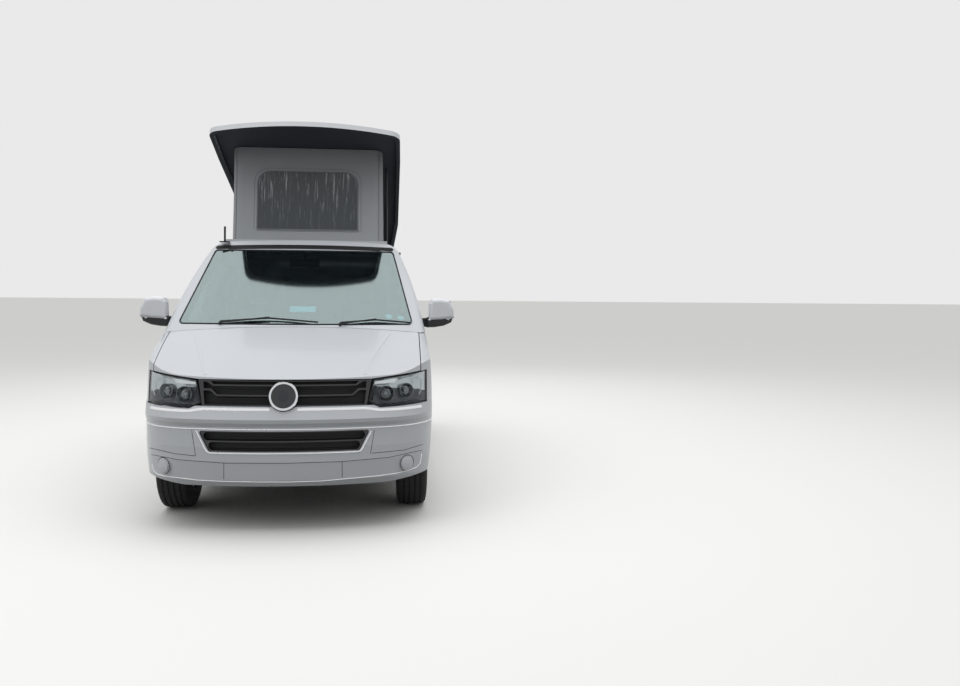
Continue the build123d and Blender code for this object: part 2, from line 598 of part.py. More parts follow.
half_tread = TYRE_WIDTH / 2
rim_r = RIM_DIAMETER / 2
out_r = TYRE_DIAMETER / 2
hub_out = HUB_FACE + SEAT_GAP - TRACK / 2
TYRE_CORNERS = [6, 6, 40, 26, 26, 40]
tyre = ring_profile(((-half_tread + 14, rim_r + SEAT_GAP), (half_tread - 14, rim_r + SEAT_GAP),
                     (half_tread, rim_r + 45), (half_tread - 4, out_r), (-half_tread + 4, out_r),
                     (-half_tread, rim_r + 45)), TYRE_CORNERS)
barrel = ring_profile(((-half_tread + 20, rim_r), (half_tread - 20, rim_r), (half_tread - 20, rim_r - 16),
                       (half_tread - 34, rim_r - 24), (-half_tread + 20, rim_r - 10)))
disc = ring_profile(((hub_out, 0), (hub_out, 78), (half_tread - 58, 100), (half_tread - 44, rim_r - 20),
                     (half_tread - 22, rim_r - 14), (half_tread - 26, 96), (half_tread - 42, 70),
                     (half_tread - 42, 0)))
WINDOWS = 10
WINDOW = (62, 46, 100)
WINDOW_REACH = 140
for index in range(WINDOWS):
    turned = Rot(index * 360 / WINDOWS, 0, 0) * Pos(0, 0, WINDOW_REACH) * Rot(0, 90, 0)
    disc -= Pos(half_tread - 40, 0, 0) * turned * extrude(Trapezoid(*WINDOW), amount=60, both=True)
rim = biggest(barrel + disc)
for end, distance in (("front", FRONT_AXLE), ("rear", REAR_AXLE)):
    place = Pos(TRACK / 2, station(distance), HUB_Z)
    for name, shape in (("tyre", tyre), ("rim", rim)):
        for side, placed in zip(("left", "right"), both_sides(place * shape)):
            save(f"{name}_{end}_{side}", placed)

# Lifting roof: a domed shell with a thin lip, hinged at its rear edge and shown raised
HINGE = (4450, 1985)
RAISED = 15.9
HINGE_PIN = 7
HINGE_EAR = (584, 596)
ROOF_PLAN_FRONT = 1275
ROOF_PLAN_CORNER = 1420
ROOF_PLAN_SIDE = (1900, 3400)
ROOF_PLAN_REAR = 4462
ROOF_PLAN_HALF = 748
ROOF_FRONT_HALF = 740
ROOF_REAR_TAPER = 60
ROOF_CORNER = 110
LIP = (1935, 1974)
ROOF_INNER_TOP = 1972
ROOF_TOP = 2048
DOME_FRONT = 330
DOME_SIDE = 120
LIP_RIM = 30
CROWN_HEIGHT = 36


def roof_plan(front_inset, side_inset, rear_inset):
    """The roof's outline from above, drawn in by its own amount at the front, the sides and the rear."""
    half, front_half = ROOF_PLAN_HALF - side_inset, ROOF_FRONT_HALF - side_inset
    left = [(front_half, station(ROOF_PLAN_CORNER + front_inset)),
            (half, station(ROOF_PLAN_SIDE[0] + front_inset)),
            (half, station(ROOF_PLAN_SIDE[1])),
            (half - ROOF_REAR_TAPER, station(ROOF_PLAN_REAR - rear_inset))]
    right = [(-x, y) for x, y in reversed(left)]
    front = ThreePointArc(right[-1], (0, station(ROOF_PLAN_FRONT + front_inset)), left[0])
    face = make_face([front, Polyline(*left, *right)])
    return fillet(face.vertices().sort_by(Axis.Y)[:2], ROOF_CORNER).face()


def at_height(face, z):
    return Plane.XY.offset(z).from_local_coords(face)


edge_plan = roof_plan(0, 0, 0)
dome_plan = roof_plan(DOME_FRONT, DOME_SIDE, 0)
inner_plan = roof_plan(LIP_RIM, LIP_RIM, LIP_RIM)
crown_radius = ROOF_PLAN_HALF ** 2 / 2 / CROWN_HEIGHT
tray = extrude(at_height(edge_plan, LIP[0]), amount=LIP[1] - LIP[0])
tray += loft([at_height(edge_plan, LIP[1]), at_height(dome_plan, ROOF_TOP)], ruled=True)
tray &= Pos(0, station(2900), ROOF_TOP - crown_radius) * Rot(90, 0, 0) * Cylinder(crown_radius, 5000)
tray -= extrude(at_height(inner_plan, LIP[0] - 10), amount=ROOF_INNER_TOP - LIP[0] + 10)
tray -= block((-ROOF_PLAN_HALF, ROOF_PLAN_HALF), (4200, 4500), (1900, ROOF_INNER_TOP + 2))
hinge_axis = Axis((0, station(HINGE[0]), HINGE[1]), (1, 0, 0))
hinge_pin = across_rod(*HINGE, HINGE_PIN, HINGE_EAR[0] - 25, HINGE_EAR[1] + 25)
pin_hole = across_rod(*HINGE, HINGE_PIN + SEAT_GAP, HINGE_EAR[0] - 26, HINGE_EAR[1] + 26)
hinge_slot = block((HINGE_EAR[0] - 6, HINGE_EAR[1] + 6), (HINGE[0] - 34, HINGE[0] + 60), (1900, HINGE[1] + 22))
for side in both_sides(pin_hole + hinge_slot):
    tray -= side
save("roof_shell", tray.rotate(hinge_axis, -RAISED))

frame_outer = block((-FRAME_HALF, FRAME_HALF), FRAME, (FRAME_BOTTOM, FRAME_TOP))
frame_inner = block((FRAME_RIM - FRAME_HALF, FRAME_HALF - FRAME_RIM),
                    (FRAME[0] + FRAME_RIM, FRAME[1] - FRAME_RIM), (1800, 2100))
hinge_ear = block(HINGE_EAR, (FRAME[1] - 1, HINGE[0] + 12), (FRAME_BOTTOM, HINGE[1])) + hinge_pin
hinge_ear += across_rod(*HINGE, 12, *HINGE_EAR)
hinge_ear -= block((HINGE_EAR[0] - 1, HINGE_EAR[1] + 1), (FRAME[1] - 60, HINGE[0] - 12), (FRAME_TOP, 2100))
roof_frame = frame_outer - frame_inner
for side in both_sides(hinge_ear):
    roof_frame += side
save("roof_frame", roof_frame - outer)

# Canvas between the roof frame and the shell: a hollow wedge
CANVAS_WALL = 8
CANVAS_HALF = 604
CANVAS = (1715, 4350)
CANVAS_LEAN = 115
CANVAS_TOP_GAP = 3
roof_slope = math.tan(math.radians(RAISED))
canvas_drop = (HINGE[1] - ROOF_INNER_TOP) / math.cos(math.radians(RAISED)) + CANVAS_TOP_GAP


def canvas_top(distance):
    return HINGE[1] - canvas_drop + (HINGE[0] - distance) * roof_slope


def canvas_wedge(inset):
    front, rear = CANVAS[0] + inset, CANVAS[1] - inset
    top_front = front + CANVAS_LEAN
    low = FRAME_TOP + SEAT_GAP
    side = ((front, low), (rear, low), (rear, canvas_top(rear)), (top_front, canvas_top(top_front)))
    return across(side, inset - CANVAS_HALF, CANVAS_HALF - inset)


save("roof_canvas", canvas_wedge(0) - canvas_wedge(CANVAS_WALL))

# Awning rail along the left edge of the roof
AWNING_RAIL = (1650, 4300)
AWNING_TUBE = (10, 6)
AWNING_TILT = math.radians(24)
AWNING_MOUTH = 3
rail_x = RAIL[0] + (AWNING_TUBE[0] - 2) * math.cos(AWNING_TILT)
rail_z = RAIL[1] + (AWNING_TUBE[0] - 2) * math.sin(AWNING_TILT)


def rail_rod(radius, past):
    start, end = station(AWNING_RAIL[0] - past), station(AWNING_RAIL[1] + past)
    return rod((rail_x, start, rail_z), (rail_x, end, rail_z), radius)


rail = rail_rod(AWNING_TUBE[0], 0) - rail_rod(AWNING_TUBE[1], 5)
rail -= block((rail_x, rail_x + 2 * AWNING_TUBE[0]), (AWNING_RAIL[0] - 5, AWNING_RAIL[1] + 5),
              (rail_z - AWNING_MOUTH / 2, rail_z + AWNING_MOUTH / 2))
save("awning_rail", biggest(rail - outer))


# Wipers, just clear of the windscreen
def screen_point(x, up, lift):
    """A point over the windscreen: X, distance up the slope from its base, and height off its surface."""
    low, high = [Vector(0, station(d), z) for d, z in SCREEN_LINE]
    along = (high - low).normalized()
    normal = Vector(0, -along.Z, along.Y)
    return Vector(x, 0, 0) + low + along * up + normal * (lift - x ** 2 / 2 / SCREEN_CROWN)


WIPERS = ((-522, 72, 160, 28), (313, 36, 815, 122))  # blade start, blade end
BLADE_BOW = 22
BLADE_LIFT = 12
BLADE_RADIUS = 6
ARM_LIFT = (16, 20)
ARM_RADIUS = 5
POST_DROP = 20
POST_RADIUS = 9
wipers = []
for x0, up0, x1, up1 in WIPERS:
    middle = ((x0 + x1) / 2, (up0 + up1) / 2 + BLADE_BOW)
    foot = (x0, up0 - POST_DROP)
    blade = rod(screen_point(x0, up0, BLADE_LIFT), screen_point(*middle, BLADE_LIFT), BLADE_RADIUS)
    blade += rod(screen_point(*middle, BLADE_LIFT), screen_point(x1, up1, BLADE_LIFT), BLADE_RADIUS)
    post = rod(screen_point(*foot, -80), screen_point(*foot, ARM_LIFT[1]), POST_RADIUS) - outer
    arm = rod(screen_point(*foot, ARM_LIFT[0]), screen_point(*middle, ARM_LIFT[1]), ARM_RADIUS)
    wipers.append(blade + arm + post.solids().sort_by(Axis.Z)[-1])
save("wipers", *wipers)

# Door mirrors: a rounded case on a foot that reaches the door
MIRROR_CASE = ((1146, 1350), (1138, 1425), (1106, 1489), (1040, 1500), (972, 1494), (956, 1460), (954, 1331),
               (1060, 1338))
MIRROR_FOOT = ((1141, 1372), (1122, 1320), (1066, 1295), (1000, 1284), (930, 1281), (930, 1352), (1000, 1372))
MIRROR_CASE_DEPTH = (1040, 1136)
MIRROR_FOOT_DEPTH = (1050, 1134)
MIRROR_ARM = ((880, 960), (1080, 1165), (1286, 1350))
mirror = block(*MIRROR_ARM)
for outline, depth, corner, front_edge in ((MIRROR_CASE, MIRROR_CASE_DEPTH, 14, 30),
                                           (MIRROR_FOOT, MIRROR_FOOT_DEPTH, 12, 24)):
    pod = lengthwise(outline, *depth, corner)
    mirror += fillet(pod.faces().sort_by(Axis.Y)[0].edges(), front_edge)
mirror -= outer
for side, shape in zip(("left", "right"), both_sides(mirror)):
    save(f"mirror_{side}", shape)

# Cab and living space
DASH_FRONT = BULKHEAD[1] + SEAT_GAP
DASH = ((DASH_FRONT, 1215), (1290, 1200), (1375, 1130), (1375, 1010), (1300, 900), (1200, 790),
        (DASH_FRONT, 780))
DASH_HALF = 790
WHEEL_X = -400
WHEEL_PLACE = (1500, 1150)
WHEEL_TILT = math.radians(30)
WHEEL_RADIUS = 190
GRIP_RADIUS = 15
WHEEL_BOSS = (62, 44)
WHEEL_SPOKE = (150, 30, 14)
COLUMN = (26, 220)
COLUMN_SHROUD = ((1300, 1120), (1430, 1060), (1400, 960), (1300, 900))
SHROUD_HALF = 60
hub_back = -18 - WHEEL_BOSS[1] / 2
wheel_plane = Plane(origin=(WHEEL_X, station(WHEEL_PLACE[0]), WHEEL_PLACE[1]), x_dir=(1, 0, 0),
                    z_dir=(0, math.sin(WHEEL_TILT), math.cos(WHEEL_TILT)))
steering = wheel_plane * Torus(WHEEL_RADIUS, GRIP_RADIUS)
steering += wheel_plane * Pos(0, 0, -18) * Cylinder(*WHEEL_BOSS)
for turn in (0, 180, 270):
    steering += wheel_plane * Rot(0, 0, turn) * Pos(115, 0, -6) * Box(*WHEEL_SPOKE)
dash = across(DASH, -DASH_HALF, DASH_HALF) & hull(DOOR_THICK + 9)
dash += across(COLUMN_SHROUD, WHEEL_X - SHROUD_HALF, WHEEL_X + SHROUD_HALF)
dash += wheel_plane * Pos(0, 0, hub_back - SEAT_GAP - COLUMN[1] / 2) * Cylinder(*COLUMN)
save("dashboard", dash)
save("steering_wheel", steering)

SEAT_X = 400
SEAT_HALF = 240
SEATS = {"passenger_seat": SEAT_X, "driver_seat": -SEAT_X}
SEAT_PAN = (1640, 2130)
SEAT_EDGE = 30
CUSHION_Z = (775, 900)
BACK_Z = CUSHION_Z[1] + SEAT_GAP
SEAT_BACK = ((2030, BACK_Z), (2160, BACK_Z), (2270, 1430), (2150, 1430))
HEADREST = ((2180, 1450), (2290, 1450), (2310, 1620), (2210, 1620))
HEADREST_POST = ((2200, 1420), (2240, 1420), (2250, 1460), (2210, 1460))
bases = []
for name, x in SEATS.items():
    low, high = x - SEAT_HALF, x + SEAT_HALF
    cushion = block((low, high), SEAT_PAN, CUSHION_Z)
    back = across(SEAT_BACK, low, high, SEAT_EDGE)
    head = across(HEADREST, x - 130, x + 130, 20)
    neck = across(HEADREST_POST, x - 60, x + 60)
    save(name, fillet(cushion.edges(), SEAT_EDGE) + back + head + neck)
    bases.append(block((low + 40, high - 40), (1680, 2080), (FLOOR[1] + SEAT_GAP, CUSHION_Z[0] - SEAT_GAP)))
save("seat_bases", *bases)

BENCH_X = (-340, 800)
BENCH_Z = (780, 910)
BENCH_PAN = (3280, 3860)
BENCH_BACK_Z = BENCH_Z[1] + SEAT_GAP
BENCH_BACK = ((3760, BENCH_BACK_Z), (3880, BENCH_BACK_Z), (3960, 1420), (3850, 1420))
bench_cushion = fillet(block(BENCH_X, BENCH_PAN, BENCH_Z).edges(), SEAT_EDGE)
save("rear_bench", bench_cushion + across(BENCH_BACK, *BENCH_X, SEAT_EDGE))
save("bench_base", block((-330, 560), (3300, 3840), (FLOOR[1] + SEAT_GAP, BENCH_Z[0] - SEAT_GAP)))
save("kitchen_unit", hull(WALL + 6) & block((-HALF, -430), (2500, 3480), (FLOOR[1] + SEAT_GAP, 1060)))
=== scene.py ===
import math

import bmesh
import bpy
from mathutils import Matrix, Vector
from mathutils.bvhtree import BVHTree


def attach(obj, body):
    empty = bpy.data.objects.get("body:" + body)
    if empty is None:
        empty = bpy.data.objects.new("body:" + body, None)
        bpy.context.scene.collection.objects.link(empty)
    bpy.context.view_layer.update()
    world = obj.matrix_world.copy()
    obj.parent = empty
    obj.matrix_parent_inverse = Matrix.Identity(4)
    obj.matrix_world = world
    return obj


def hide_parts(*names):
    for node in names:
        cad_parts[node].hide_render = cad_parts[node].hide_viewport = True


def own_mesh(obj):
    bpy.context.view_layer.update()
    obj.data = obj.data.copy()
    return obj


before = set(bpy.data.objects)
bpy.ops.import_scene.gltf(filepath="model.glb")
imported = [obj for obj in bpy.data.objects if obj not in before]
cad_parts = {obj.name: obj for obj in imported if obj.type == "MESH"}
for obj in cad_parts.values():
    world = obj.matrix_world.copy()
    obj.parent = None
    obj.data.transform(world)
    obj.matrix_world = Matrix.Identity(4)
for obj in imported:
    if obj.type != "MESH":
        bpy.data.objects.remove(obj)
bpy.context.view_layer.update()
bpy.ops.object.select_all(action="DESELECT")

# The view is the photograph's own: from in front of the van and a little to its left,
# at about the height of a standing person's eyes.
PHOTO_WIDTH = 960
FOCAL_PIXELS = 879.6
CENTRE_PIXEL = (477.5, 343.9)
PHOTO_MIDDLE = (480, 343)
SENSOR = 36
CAMERA_PLACE = (0.648, -7.981, 1.532)
CAMERA_TURN = [math.radians(angle) for angle in (-5.832, -3.217, -0.471)]

scene = bpy.context.scene
camera = bpy.data.objects.new("camera", bpy.data.cameras.new("camera"))
scene.collection.objects.link(camera)
scene.camera = camera
camera.data.sensor_width = SENSOR
camera.data.lens = FOCAL_PIXELS / PHOTO_WIDTH * SENSOR
camera.data.shift_x = (PHOTO_MIDDLE[0] - CENTRE_PIXEL[0]) / PHOTO_WIDTH
camera.data.shift_y = (CENTRE_PIXEL[1] - PHOTO_MIDDLE[1]) / PHOTO_WIDTH
yaw, pitch, roll = CAMERA_TURN
camera_turn = Matrix.Rotation(yaw, 3, "Z") @ Matrix.Rotation(pitch, 3, "X") @ Matrix.Rotation(roll, 3, "Y")
camera_turn = camera_turn @ Matrix.Rotation(math.pi / 2, 3, "X")
camera.matrix_world = Matrix.Translation(CAMERA_PLACE) @ camera_turn.to_4x4()
scene.view_settings.view_transform = "Standard"


def linear(colour):
    """An sRGB hex colour as the linear one that a shader takes."""
    parts = [int(colour[i:i + 2], 16) / 255 for i in (1, 3, 5)]
    return (*[c / 12.92 if c <= 0.04045 else ((c + 0.055) / 1.055) ** 2.4 for c in parts], 1.0)


def add_node(tree, kind, settings=None, inputs=None):
    """Adds a shader node. An input is a value, or another node's output that is linked to it."""
    made = tree.nodes.new(kind)
    for name, value in (settings or {}).items():
        setattr(made, name, value)
    for name, value in (inputs or {}).items():
        if isinstance(value, bpy.types.NodeSocket):
            tree.links.new(value, made.inputs[name])
        else:
            made.inputs[name].default_value = value
    return made


# The studio: a plain pale floor, a white surrounding that metal and glass show too, and wide soft lamps above.
# Rays that only light a surface meet a darker floor, so that it lights the van's front little.
FLOOR_SIZE = 400
FLOOR_ROUGHNESS = 0.9
FLOOR_SHINE = 0.1
FLOOR_COLOUR = "#e2e2e0"
FLOOR_UNSEEN = "#6c6c6a"
# the surrounding's strength at the horizon and overhead
WORLD_LIGHT = (0.30, 1.05)
# the surrounding's strength as the camera, a reflection and glass show it
WORLD_SEEN = 0.82
# place, size and power of each soft lamp
LAMPS = (((0.0, -1.2, 8.0), 9, 380), ((-4.5, -6.0, 6.0), 5, 60), ((1.0, 7.0, 6.5), 6, 110))
LAMPS_AIM = (0, 0, 1)


def seen_rays(tree):
    """1 on rays from the camera, a reflection or through glass, and 0 on those that only light a surface."""
    path = add_node(tree, "ShaderNodeLightPath")
    seen = add_node(tree, "ShaderNodeMath", {"operation": "MAXIMUM"},
                    {0: path.outputs["Is Camera Ray"], 1: path.outputs["Is Glossy Ray"]})
    return add_node(tree, "ShaderNodeMath", {"operation": "MAXIMUM"},
                    {0: seen.outputs[0], 1: path.outputs["Is Transmission Ray"]}).outputs[0]


world = bpy.data.worlds.new("studio")
scene.world = world
world.use_nodes = True
world.node_tree.nodes.clear()
direction = add_node(world.node_tree, "ShaderNodeTexCoord").outputs["Generated"]
upward = add_node(world.node_tree, "ShaderNodeSeparateXYZ", inputs={"Vector": direction}).outputs["Z"]
rising = add_node(world.node_tree, "ShaderNodeMapRange",
                  inputs={"Value": upward, "To Min": WORLD_LIGHT[0], "To Max": WORLD_LIGHT[1]}).outputs[0]
strength = add_node(world.node_tree, "ShaderNodeMix", {"data_type": "FLOAT"},
                    {0: seen_rays(world.node_tree), 2: rising, 3: WORLD_SEEN})
light = add_node(world.node_tree, "ShaderNodeBackground",
                 inputs={"Color": (1, 1, 1, 1), "Strength": strength.outputs[0]})
add_node(world.node_tree, "ShaderNodeOutputWorld", inputs={"Surface": light.outputs[0]})

for index, (place, size, power) in enumerate(LAMPS):
    lamp = bpy.data.objects.new(f"soft_lamp_{index}", bpy.data.lights.new(f"soft_lamp_{index}", "AREA"))
    lamp.data.size = size
    lamp.data.energy = power
    lamp.location = place
    lamp.rotation_euler = (Vector(LAMPS_AIM) - Vector(place)).to_track_quat("-Z", "Y").to_euler()
    lamp.visible_glossy = False
    lamp.visible_transmission = False
    scene.collection.objects.link(lamp)

bpy.ops.mesh.primitive_plane_add(size=FLOOR_SIZE, location=(0, 0, 0))
floor = bpy.context.object
floor.name = "floor"
bpy.ops.object.select_all(action="DESELECT")
floor_material = bpy.data.materials.new("matt_studio_floor")
floor_material.use_nodes = True
floor_shader = floor_material.node_tree.nodes["Principled BSDF"]
floor_shade = add_node(floor_material.node_tree, "ShaderNodeMix", {"data_type": "RGBA"},
                       {0: seen_rays(floor_material.node_tree), 6: linear(FLOOR_UNSEEN), 7: linear(FLOOR_COLOUR)})
floor_material.node_tree.links.new(floor_shade.outputs[2], floor_shader.inputs["Base Color"])
floor_shader.inputs["Roughness"].default_value = FLOOR_ROUGHNESS
floor_shader.inputs["Specular IOR Level"].default_value = FLOOR_SHINE
floor.data.materials.append(floor_material)

# how strongly a grain shades its surface, and how fine the noise of grains and of blotches goes
GRAIN_STRENGTH = 0.6
GRAIN_DETAIL = 3.0
BLOTCH_DETAIL = 5.0


def finish_of(name, colour, roughness, metallic=0.0, **sockets):
    """A material with these values on the shader's own sockets. A socket's name is given with _ for a space."""
    material = bpy.data.materials.new(name)
    material.use_nodes = True
    shader = material.node_tree.nodes["Principled BSDF"]
    shader.inputs["Base Color"].default_value = linear(colour)
    shader.inputs["Roughness"].default_value = roughness
    shader.inputs["Metallic"].default_value = metallic
    for socket, value in sockets.items():
        shader.inputs[socket.replace("_", " ")].default_value = value
    return material


def grained(material, grain, depth, colours=None, patch=0.25, roughness=None):
    """Gives a material a fine grain of this size in metres, and blotches of another colour or roughness."""
    tree = material.node_tree
    shader = tree.nodes["Principled BSDF"]
    place = add_node(tree, "ShaderNodeTexCoord").outputs["Object"]
    fine = add_node(tree, "ShaderNodeTexNoise",
                    inputs={"Vector": place, "Scale": 1 / grain, "Detail": GRAIN_DETAIL})
    bump = add_node(tree, "ShaderNodeBump",
                    inputs={"Height": fine.outputs["Fac"], "Strength": GRAIN_STRENGTH, "Distance": depth})
    tree.links.new(bump.outputs[0], shader.inputs["Normal"])
    blotch = add_node(tree, "ShaderNodeTexNoise",
                      inputs={"Vector": place, "Scale": 1 / patch, "Detail": BLOTCH_DETAIL})
    if colours:
        shade = add_node(tree, "ShaderNodeMix", {"data_type": "RGBA"},
                         {0: blotch.outputs["Fac"], 6: linear(colours[0]), 7: linear(colours[1])})
        tree.links.new(shade.outputs[2], shader.inputs["Base Color"])
    if roughness:
        rough = add_node(tree, "ShaderNodeMapRange", inputs={"Value": blotch.outputs["Fac"],
                                                             "To Min": roughness[0], "To Max": roughness[1]})
        tree.links.new(rough.outputs[0], shader.inputs["Roughness"])
    return material


def dress(material, *nodes):
    """Gives CAD nodes one material."""
    for name in nodes:
        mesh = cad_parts[name].data
        mesh.materials.clear()
        mesh.materials.append(material)


def dress_faces(node, other, chosen):
    """Gives a second material to those faces of a CAD node that a test of centre and normal chooses."""
    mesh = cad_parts[node].data
    mesh.materials.append(other)
    for face in mesh.polygons:
        if chosen(face.center, face.normal):
            face.material_index = len(mesh.materials) - 1


# The body panels are pressed steel, sprayed with a silver base coat of fine flakes under clear lacquer.
# The eye sees a pale grey that turns brighter where it faces upwards.
FLAKE = 0.0012
FLAKE_RELIEF = 0.00002
LACQUER = {"Coat_Weight": 0.45, "Coat_Roughness": 0.08}
silver = grained(finish_of("lacquered_silver_steel", "#c1c5ca", 0.36, 0.1, **LACQUER), FLAKE, FLAKE_RELIEF,
                 ("#bdc1c6", "#c5c9ce"), 0.5, (0.34, 0.44))
dress(silver, "body_shell", "bonnet", "front_wings", "front_bumper", "rear_bumper", "front_door_left",
      "front_door_right", "sliding_door", "tailgate", "bumper_blanks")

# The bumper is a moulded cover in body colour, made of a few mouldings that meet at thin dark lines.
# A crease runs round it below the lamps, and rounded edges there and along its foot catch the light. That light
# is painted: a thin near-white, mirror-like bead along each edge is a painted highlight.
NOSE_Y = -2.446
CUT_LINE = 0.0017
LIP = 0.0045
LINE_STEPS = 12
# two points of a line that are nearer than this are one
SAME_SPOT = 0.002
# a line that looks for the van's front starts at this Y and goes back
AHEAD_Y = -3
BACKWARD = (0, 1, 0)


def mix(low, high, share):
    """The value at a share of the way from one to another."""
    return low + (high - low) * share


def along(spots, steps):
    """Pairs spaced evenly along a line of pairs, up to its last end but without it."""
    return [(mix(x0, x1, step / steps), mix(y0, y1, step / steps))
            for (x0, y0), (x1, y1) in zip(spots, spots[1:]) for step in range(steps)]


def surface(*nodes):
    """The faces of CAD nodes, for finding where a line meets them."""
    points, faces = [], []
    for name in nodes:
        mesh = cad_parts[name].data
        start = len(points)
        points += [v.co.copy() for v in mesh.vertices]
        faces += [[start + index for index in face.vertices] for face in mesh.polygons]
    return BVHTree.FromPolygons(points, faces)


def meet(tree, start, way, lift=0.0):
    """Where a line first meets a surface, lifted off it towards the line's start."""
    hit, normal, _, _ = tree.ray_cast(Vector(start), Vector(way))
    if normal.dot(Vector(way)) > 0:
        normal = -normal
    return hit + normal * lift


def from_front(tree, x, z, lift=0.0):
    """Where a surface at the van's front is, at an X and a height."""
    return meet(tree, (x, AHEAD_Y, z), BACKWARD, lift)


def sighted(tree, spots, lift=0.0, steps=LINE_STEPS):
    """Points on a surface along a line of places that were measured in the photograph, in pixels."""
    found = []
    for (x0, y0), (x1, y1) in zip(spots, spots[1:]):
        for step in range(steps + 1):
            across = (mix(x0, x1, step / steps) - CENTRE_PIXEL[0]) / FOCAL_PIXELS
            up = (CENTRE_PIXEL[1] - mix(y0, y1, step / steps)) / FOCAL_PIXELS
            way = camera_turn @ Vector((across, up, -1))
            point = meet(tree, CAMERA_PLACE, way.normalized(), lift)
            if not found or (point - found[-1]).length > SAME_SPOT:
                found.append(point)
    return found


def finished(piece, name, material, body, slot, angle=35):
    """Gives a new piece its name, material and shading, and makes it ride with a body. Its slot is not used."""
    bpy.ops.object.select_all(action="DESELECT")
    piece.name = name
    piece.data.name = name
    piece.data.materials.clear()
    piece.data.materials.append(material)
    bpy.context.view_layer.objects.active = piece
    piece.select_set(True)
    bpy.ops.object.shade_smooth_by_angle(angle=math.radians(angle))
    bpy.ops.object.select_all(action="DESELECT")
    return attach(piece, body)


def both_sides(piece, name, material, body, slot, angle=35):
    """Finishes a piece on the left, and makes its mirrored twin on the right."""
    finished(piece, name, material, body, slot, angle)
    mesh = piece.data.copy()
    mesh.transform(Matrix.Scale(-1, 4, (1, 0, 0)))
    mesh.flip_normals()
    twin = bpy.data.objects.new(name.replace("left", "right"), mesh)
    mesh.name = twin.name
    scene.collection.objects.link(twin)
    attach(twin, body.replace("left", "right"))
    return twin


BEAD_ANGLE = 60


def bead(name, points, radius, material, body, slot="black_plastic", closed=False, resolution=2, twinned=False):
    """A round bead or cut line that follows points, as a mesh. A left one can have a twin on the right."""
    line = bpy.data.curves.new(name, "CURVE")
    line.dimensions = "3D"
    line.bevel_depth = radius
    line.bevel_resolution = resolution
    line.use_fill_caps = not closed
    spline = line.splines.new("POLY")
    spline.points.add(len(points) - 1)
    for spot, place in zip(spline.points, points):
        spot.co = (*place, 1)
    spline.use_cyclic_u = closed
    made = bpy.data.objects.new(name, line)
    scene.collection.objects.link(made)
    bpy.context.view_layer.objects.active = made
    made.select_set(True)
    bpy.ops.object.convert(target="MESH")
    make = both_sides if twinned else finished
    return make(bpy.context.object, name, material, body, slot, BEAD_ANGLE)


bumper_front = surface("front_bumper")
joint_dark = grained(finish_of("shadow_in_joint", "#24262a", 0.8), 0.003, 0.0001, ("#1f2125", "#2b2d31"), 0.1)
# painted highlight: the near-white, mirror-like beads along the bumper's edges stand for the light they catch
edge_highlight = grained(finish_of("bright_moulded_edge", "#f4f5f7", 0.28, 0.75, Coat_Weight=0.8), 0.0012, 0.00001,
                     roughness=(0.24, 0.32))
CUT_LINES = {
    "bumper_side_cut_right": ((149.6, 447.8), (174.4, 453.6), (195.5, 455.9)),
    "bumper_side_cut_left": ((422.6, 444.4), (404, 450), (372, 453.2)),
    "bumper_grille_cut_right": ((191.7, 430.6), (195.5, 455.5)),
    "bumper_grille_cut_left": ((374.4, 430.2), (370.5, 453.4)),
    "bumper_low_cut": ((151.5, 454.5), (178.3, 459.7), (224.2, 463.1), (283, 463.4), (341.8, 461.6),
                       (388.7, 457.4), (422.0, 450.1)),
    "bumper_plate_cut_right": ((223.8, 463.1), (223.8, 479.0)),
    "bumper_plate_cut_left": ((342.2, 461.8), (342.2, 477.5)),
}
for name, spots in CUT_LINES.items():
    bead(name, sighted(bumper_front, spots), CUT_LINE, joint_dark, "van_body")

LOWER_LIP = ((-0.549, 0.664), (-0.487, 0.542), (-0.474, 0.529), (-0.45, 0.525), (0.45, 0.525), (0.474, 0.529),
             (0.487, 0.542), (0.549, 0.664))
LOWER_LIP_LIFT = 0.001
spots = [from_front(bumper_front, x, z, LOWER_LIP_LIFT) for x, z in along(LOWER_LIP, LINE_STEPS)]
bead("lower_opening_lip", spots, LIP, edge_highlight, "van_body", "body_paint")

FOOT_LIP = ((152.4, 464), (154.0, 471.0), (158, 474.4), (168.7, 476.5), (197.4, 480), (224, 481.3), (258.6, 481.9),
            (290, 481.9), (320.8, 480.9), (342.8, 479), (379, 475.6), (395, 473.3), (407.8, 470.4), (416.4, 467.2),
            (420.2, 463), (421.6, 453))
FOOT_LIP_LIFT = 0.0005
FOOT_LIP_RADIUS = 0.7 * LIP
bead("foot_lip", sighted(bumper_front, FOOT_LIP, FOOT_LIP_LIFT), FOOT_LIP_RADIUS, edge_highlight, "van_body",
     "body_paint")

# the crease is found from the front up to this X, and from the side at these distances behind the nose
CREASE_Z = 0.677
CREASE_FRONT = 0.80
CREASE_STEPS = 60
CREASE_SIDE = (0.25, 0.33, 0.40, 0.455)
CREASE_LIFT = 0.0015
BESIDE_X = 2
spots = [from_front(bumper_front, CREASE_FRONT * (2 * i / CREASE_STEPS - 1), CREASE_Z, CREASE_LIFT)
         for i in range(CREASE_STEPS + 1)]
for sign in (-1, 1):
    side = [meet(bumper_front, (sign * BESIDE_X, NOSE_Y + distance, CREASE_Z), (-sign, 0, 0), CREASE_LIFT)
            for distance in CREASE_SIDE]
    spots = side[::-1] + spots if sign < 0 else spots + side
bead("crease_edge", spots, LIP, edge_highlight, "van_body", "body_paint")

# The cover's top edge is rolled outwards, and its shine is a painted highlight: a near-white, mirror-like bead
# half sunk along it. It is one moulding with the cover, and it lies a little lower under the lamps than under
# the grille.
ROLL_X = (0.085, 0.870)
